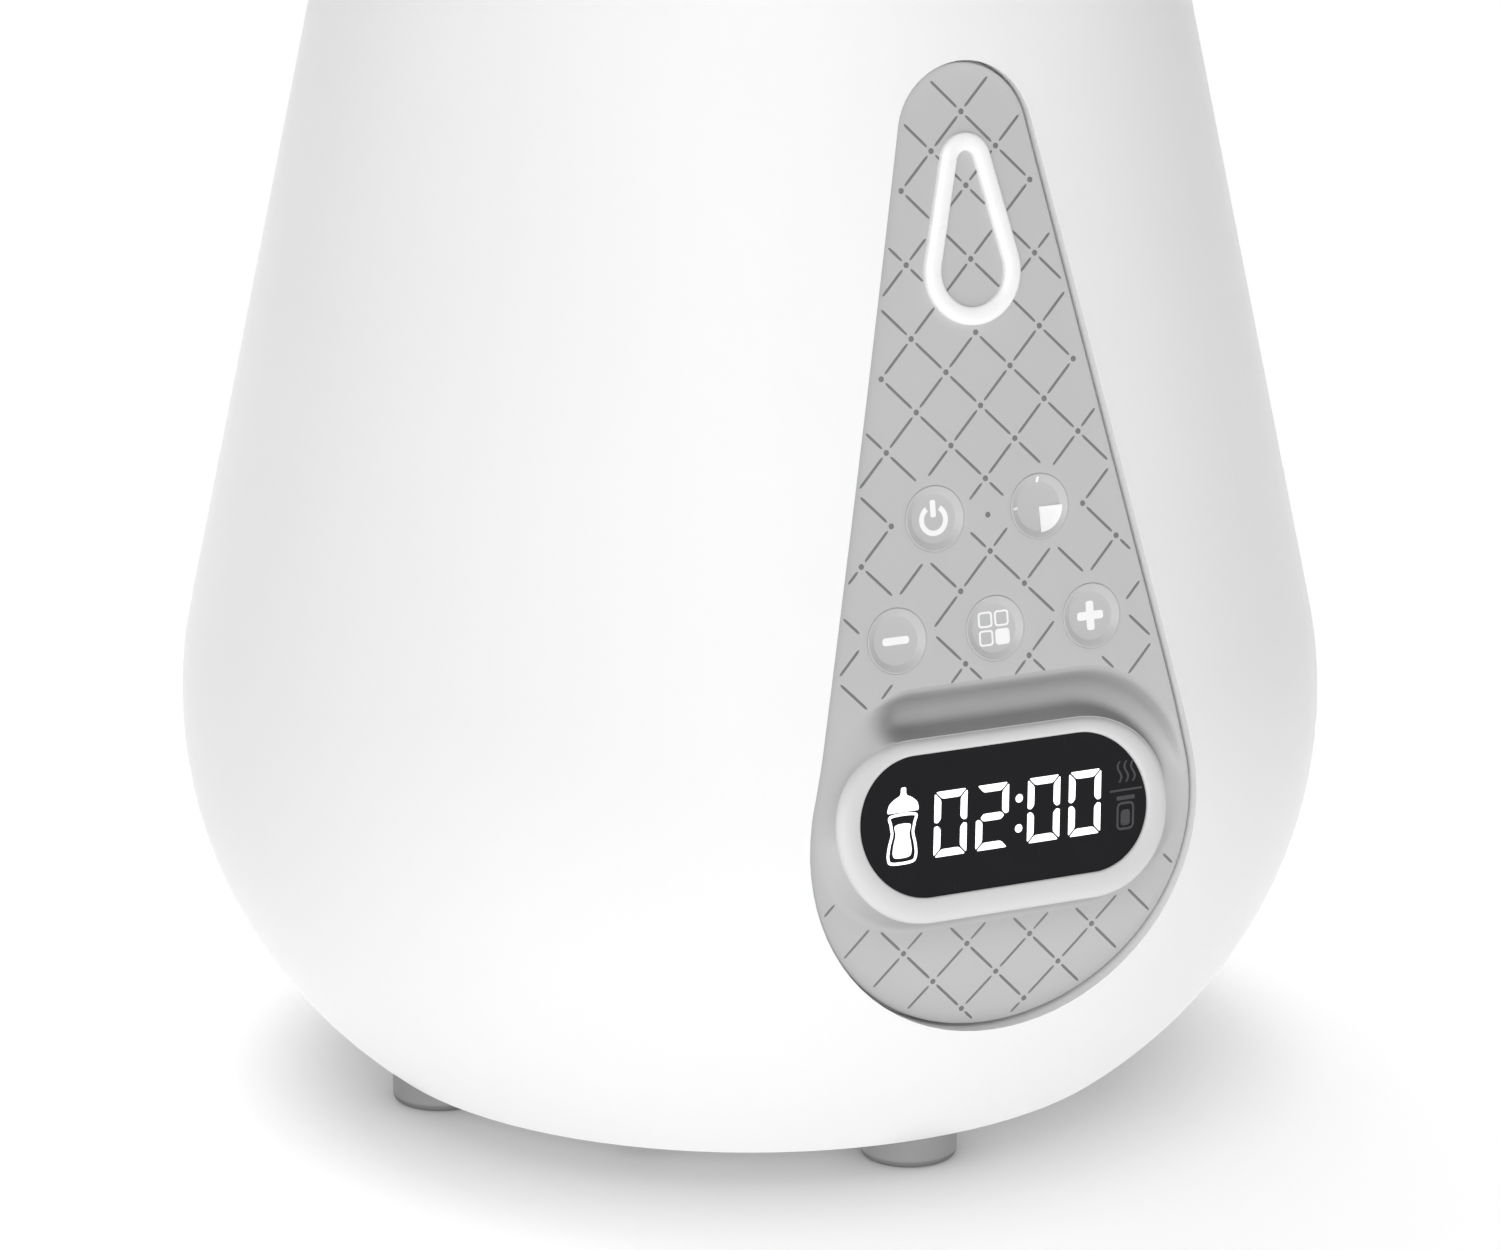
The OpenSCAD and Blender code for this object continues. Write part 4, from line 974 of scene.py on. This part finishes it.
def build_ghost_marks():
    """Unlit sign at the right: steam over a jar."""
    place = on_sign(STEAM_PLACE)
    shape = Shape()
    for x in (-0.95, 0.0, 0.95):
        shape.plate(place, wavy_line(x, 1.7, 4.3, 0.3, 0.28))
    shape.plate(place, round_rect(4.6, 0.26, 0.1, (0, 0.75)))
    shape.plate(place, round_rect(2.6, 0.5, 0.15, (0, -0.2)))
    jar = round_rect(2.5, 3.4, 0.7, (0, -2.4))
    shape.plate(place, jar, [offset_loop(jar, -0.3)])
    shape.plate(place, round_rect(1.3, 1.9, 0.4, (0, -2.6)))
    dress(shape.build("display_steam"), GHOST, "base", "display_black")


# Stage

# Camera: the distance, aim, lens and sensor are in millimetres, and the near limit is in metres
CAMERA_ELEVATION = math.radians(15.02)
CAMERA_AZIMUTH = math.radians(26.4)
CAMERA_DISTANCE = 690.54
CAMERA_AIM_Z = 58.9
CAMERA_LENS = 125.05
CAMERA_SENSOR = 36.0
CAMERA_NEAR = 0.01


def build_camera():
    level = CAMERA_DISTANCE * math.cos(CAMERA_ELEVATION)
    aim = Vector((0, 0, CAMERA_AIM_Z)) * MM
    place = Vector((
        -level * math.sin(CAMERA_AZIMUTH), -level * math.cos(CAMERA_AZIMUTH),
        CAMERA_AIM_Z + CAMERA_DISTANCE * math.sin(CAMERA_ELEVATION),
    )) * MM
    data = bpy.data.cameras.new("camera")
    data.lens = CAMERA_LENS
    data.sensor_width = CAMERA_SENSOR
    data.clip_start = CAMERA_NEAR
    camera = bpy.data.objects.new("camera", data)
    camera.location = place
    camera.rotation_euler = (aim - place).to_track_quat("-Z", "Y").to_euler()
    bpy.context.scene.collection.objects.link(camera)
    bpy.context.scene.camera = camera


# Floor, in metres: its half width, and the distances from the axis between which its glow rises; nearer the
# axis the floor stays darker, a painted shadow under the object
FLOOR_HALF = 4.0
SHADOW_PAINT_NEAR = 0.035
SHADOW_PAINT_FAR = 0.08
# Strength of the glow, and the floor's two tones
FLOOR_GLOW = 0.62
FLOOR_DARK = (0.51, 0.51, 0.51)
FLOOR_LIGHT = (0.53, 0.53, 0.53)


def seen_ray(nodes, links):
    """1 for a ray that shows the background itself, straight, mirrored or through a clear piece."""
    path = nodes.new("ShaderNodeLightPath")
    seen = path.outputs["Is Camera Ray"]
    for kind in ("Is Glossy Ray", "Is Transmission Ray"):
        either = nodes.new("ShaderNodeMath")
        either.operation = "MAXIMUM"
        links.new(seen, either.inputs[0])
        links.new(path.outputs[kind], either.inputs[1])
        seen = either.outputs["Value"]
    return seen


def floor_glow_and_painted_shadow(nodes, links):
    """Lift to white where the floor is seen, which fades out under the object and so paints a shadow there,
    on top of its real shadow.
    """
    coords = nodes.new("ShaderNodeTexCoord")
    reach = nodes.new("ShaderNodeVectorMath")
    reach.operation = "LENGTH"
    links.new(coords.outputs["Object"], reach.inputs[0])
    # The glow rises with distance from the axis, so the floor near the object stays dark: a painted shadow.
    glow = nodes.new("ShaderNodeMapRange")
    glow.interpolation_type = "SMOOTHSTEP"
    glow.inputs["From Min"].default_value = SHADOW_PAINT_NEAR
    glow.inputs["From Max"].default_value = SHADOW_PAINT_FAR
    glow.inputs["To Max"].default_value = FLOOR_GLOW
    links.new(reach.outputs["Value"], glow.inputs["Value"])
    lift = nodes.new("ShaderNodeMath")
    lift.operation = "MULTIPLY"
    links.new(glow.outputs["Result"], lift.inputs[0])
    links.new(seen_ray(nodes, links), lift.inputs[1])
    return lift.outputs["Value"]


def build_floor():
    """Pale matt floor."""
    mesh = bpy.data.meshes.new("floor")
    corners = [(x * FLOOR_HALF, y * FLOOR_HALF, 0) for x, y in ((-1, -1), (1, -1), (1, 1), (-1, 1))]
    mesh.from_pydata(corners, [], [(0, 1, 2, 3)])
    floor = bpy.data.objects.new("floor", mesh)
    bpy.context.scene.collection.objects.link(floor)
    mat, nodes, links, bsdf = new_material("floor_white")
    tone = object_noise(nodes, links, 0.002)
    links.new(two_tones(nodes, links, tone, FLOOR_DARK, FLOOR_LIGHT), bsdf.inputs["Base Color"])
    bsdf.inputs["Roughness"].default_value = 0.9
    bsdf.inputs["Specular IOR Level"].default_value = 0.1
    bsdf.inputs["Emission Color"].default_value = (1, 1, 1, 1)
    links.new(floor_glow_and_painted_shadow(nodes, links), bsdf.inputs["Emission Strength"])
    mesh.materials.append(mat)


# Suns: name, direction of the source, strength, and the angle in degrees that softens the shadows
SUNS = (
    ("lamp_back", (-0.05, 0.4, 1.0), 1.5, 40),
    ("lamp_left", (-0.65, -0.7, 0.2), 0.85, 50),
)
# Square lamps: name, place and size in metres, and watts; all face one point inside the object
SQUARE_LAMPS = (
    ("lamp_low", (-0.4, -1.3, 0.12), 1.2, 13.0),
    ("lamp_table", (0, 0, 0.001), 3.0, 14.5),
)
LAMP_AIM = (0, 0, 0.09)
# Strength of the world where it isn't seen
AMBIENT = 0.19


def square_lamp(name, place, size, power):
    data = bpy.data.lights.new(name, "AREA")
    data.shape = "SQUARE"
    data.size = size
    data.energy = power
    lamp = bpy.data.objects.new(name, data)
    lamp.location = place
    lamp.rotation_euler = (Vector(LAMP_AIM) - Vector(place)).to_track_quat("-Z", "Y").to_euler()
    bpy.context.scene.collection.objects.link(lamp)


def sun(name, source, power, angle):
    data = bpy.data.lights.new(name, "SUN")
    data.energy = power
    data.angle = math.radians(angle)
    lamp = bpy.data.objects.new(name, data)
    lamp.rotation_euler = (-Vector(source)).to_track_quat("-Z", "Y").to_euler()
    bpy.context.scene.collection.objects.link(lamp)


def build_world():
    """White where it is seen, and a soft ambient light."""
    world = bpy.data.worlds.new("studio")
    bpy.context.scene.world = world
    world.use_nodes = True
    nodes = world.node_tree.nodes
    links = world.node_tree.links
    background = nodes["Background"]
    background.inputs["Color"].default_value = (1, 1, 1, 1)
    strength = nodes.new("ShaderNodeMapRange")
    strength.inputs["To Min"].default_value = AMBIENT
    strength.inputs["To Max"].default_value = 1.0
    links.new(seen_ray(nodes, links), strength.inputs["Value"])
    links.new(strength.outputs["Result"], background.inputs["Strength"])


def build_lights():
    for lamp in SUNS:
        sun(*lamp)
    for lamp in SQUARE_LAMPS:
        square_lamp(*lamp)


dress_nodes()
build_panel()
build_bezel()
build_buttons()
build_ring()
build_quilting()
build_button_marks()
build_digits()
build_bottle_mark()
build_ghost_marks()
build_camera()
build_floor()
build_lights()
build_world()
bpy.context.scene.view_settings.view_transform = "Standard"
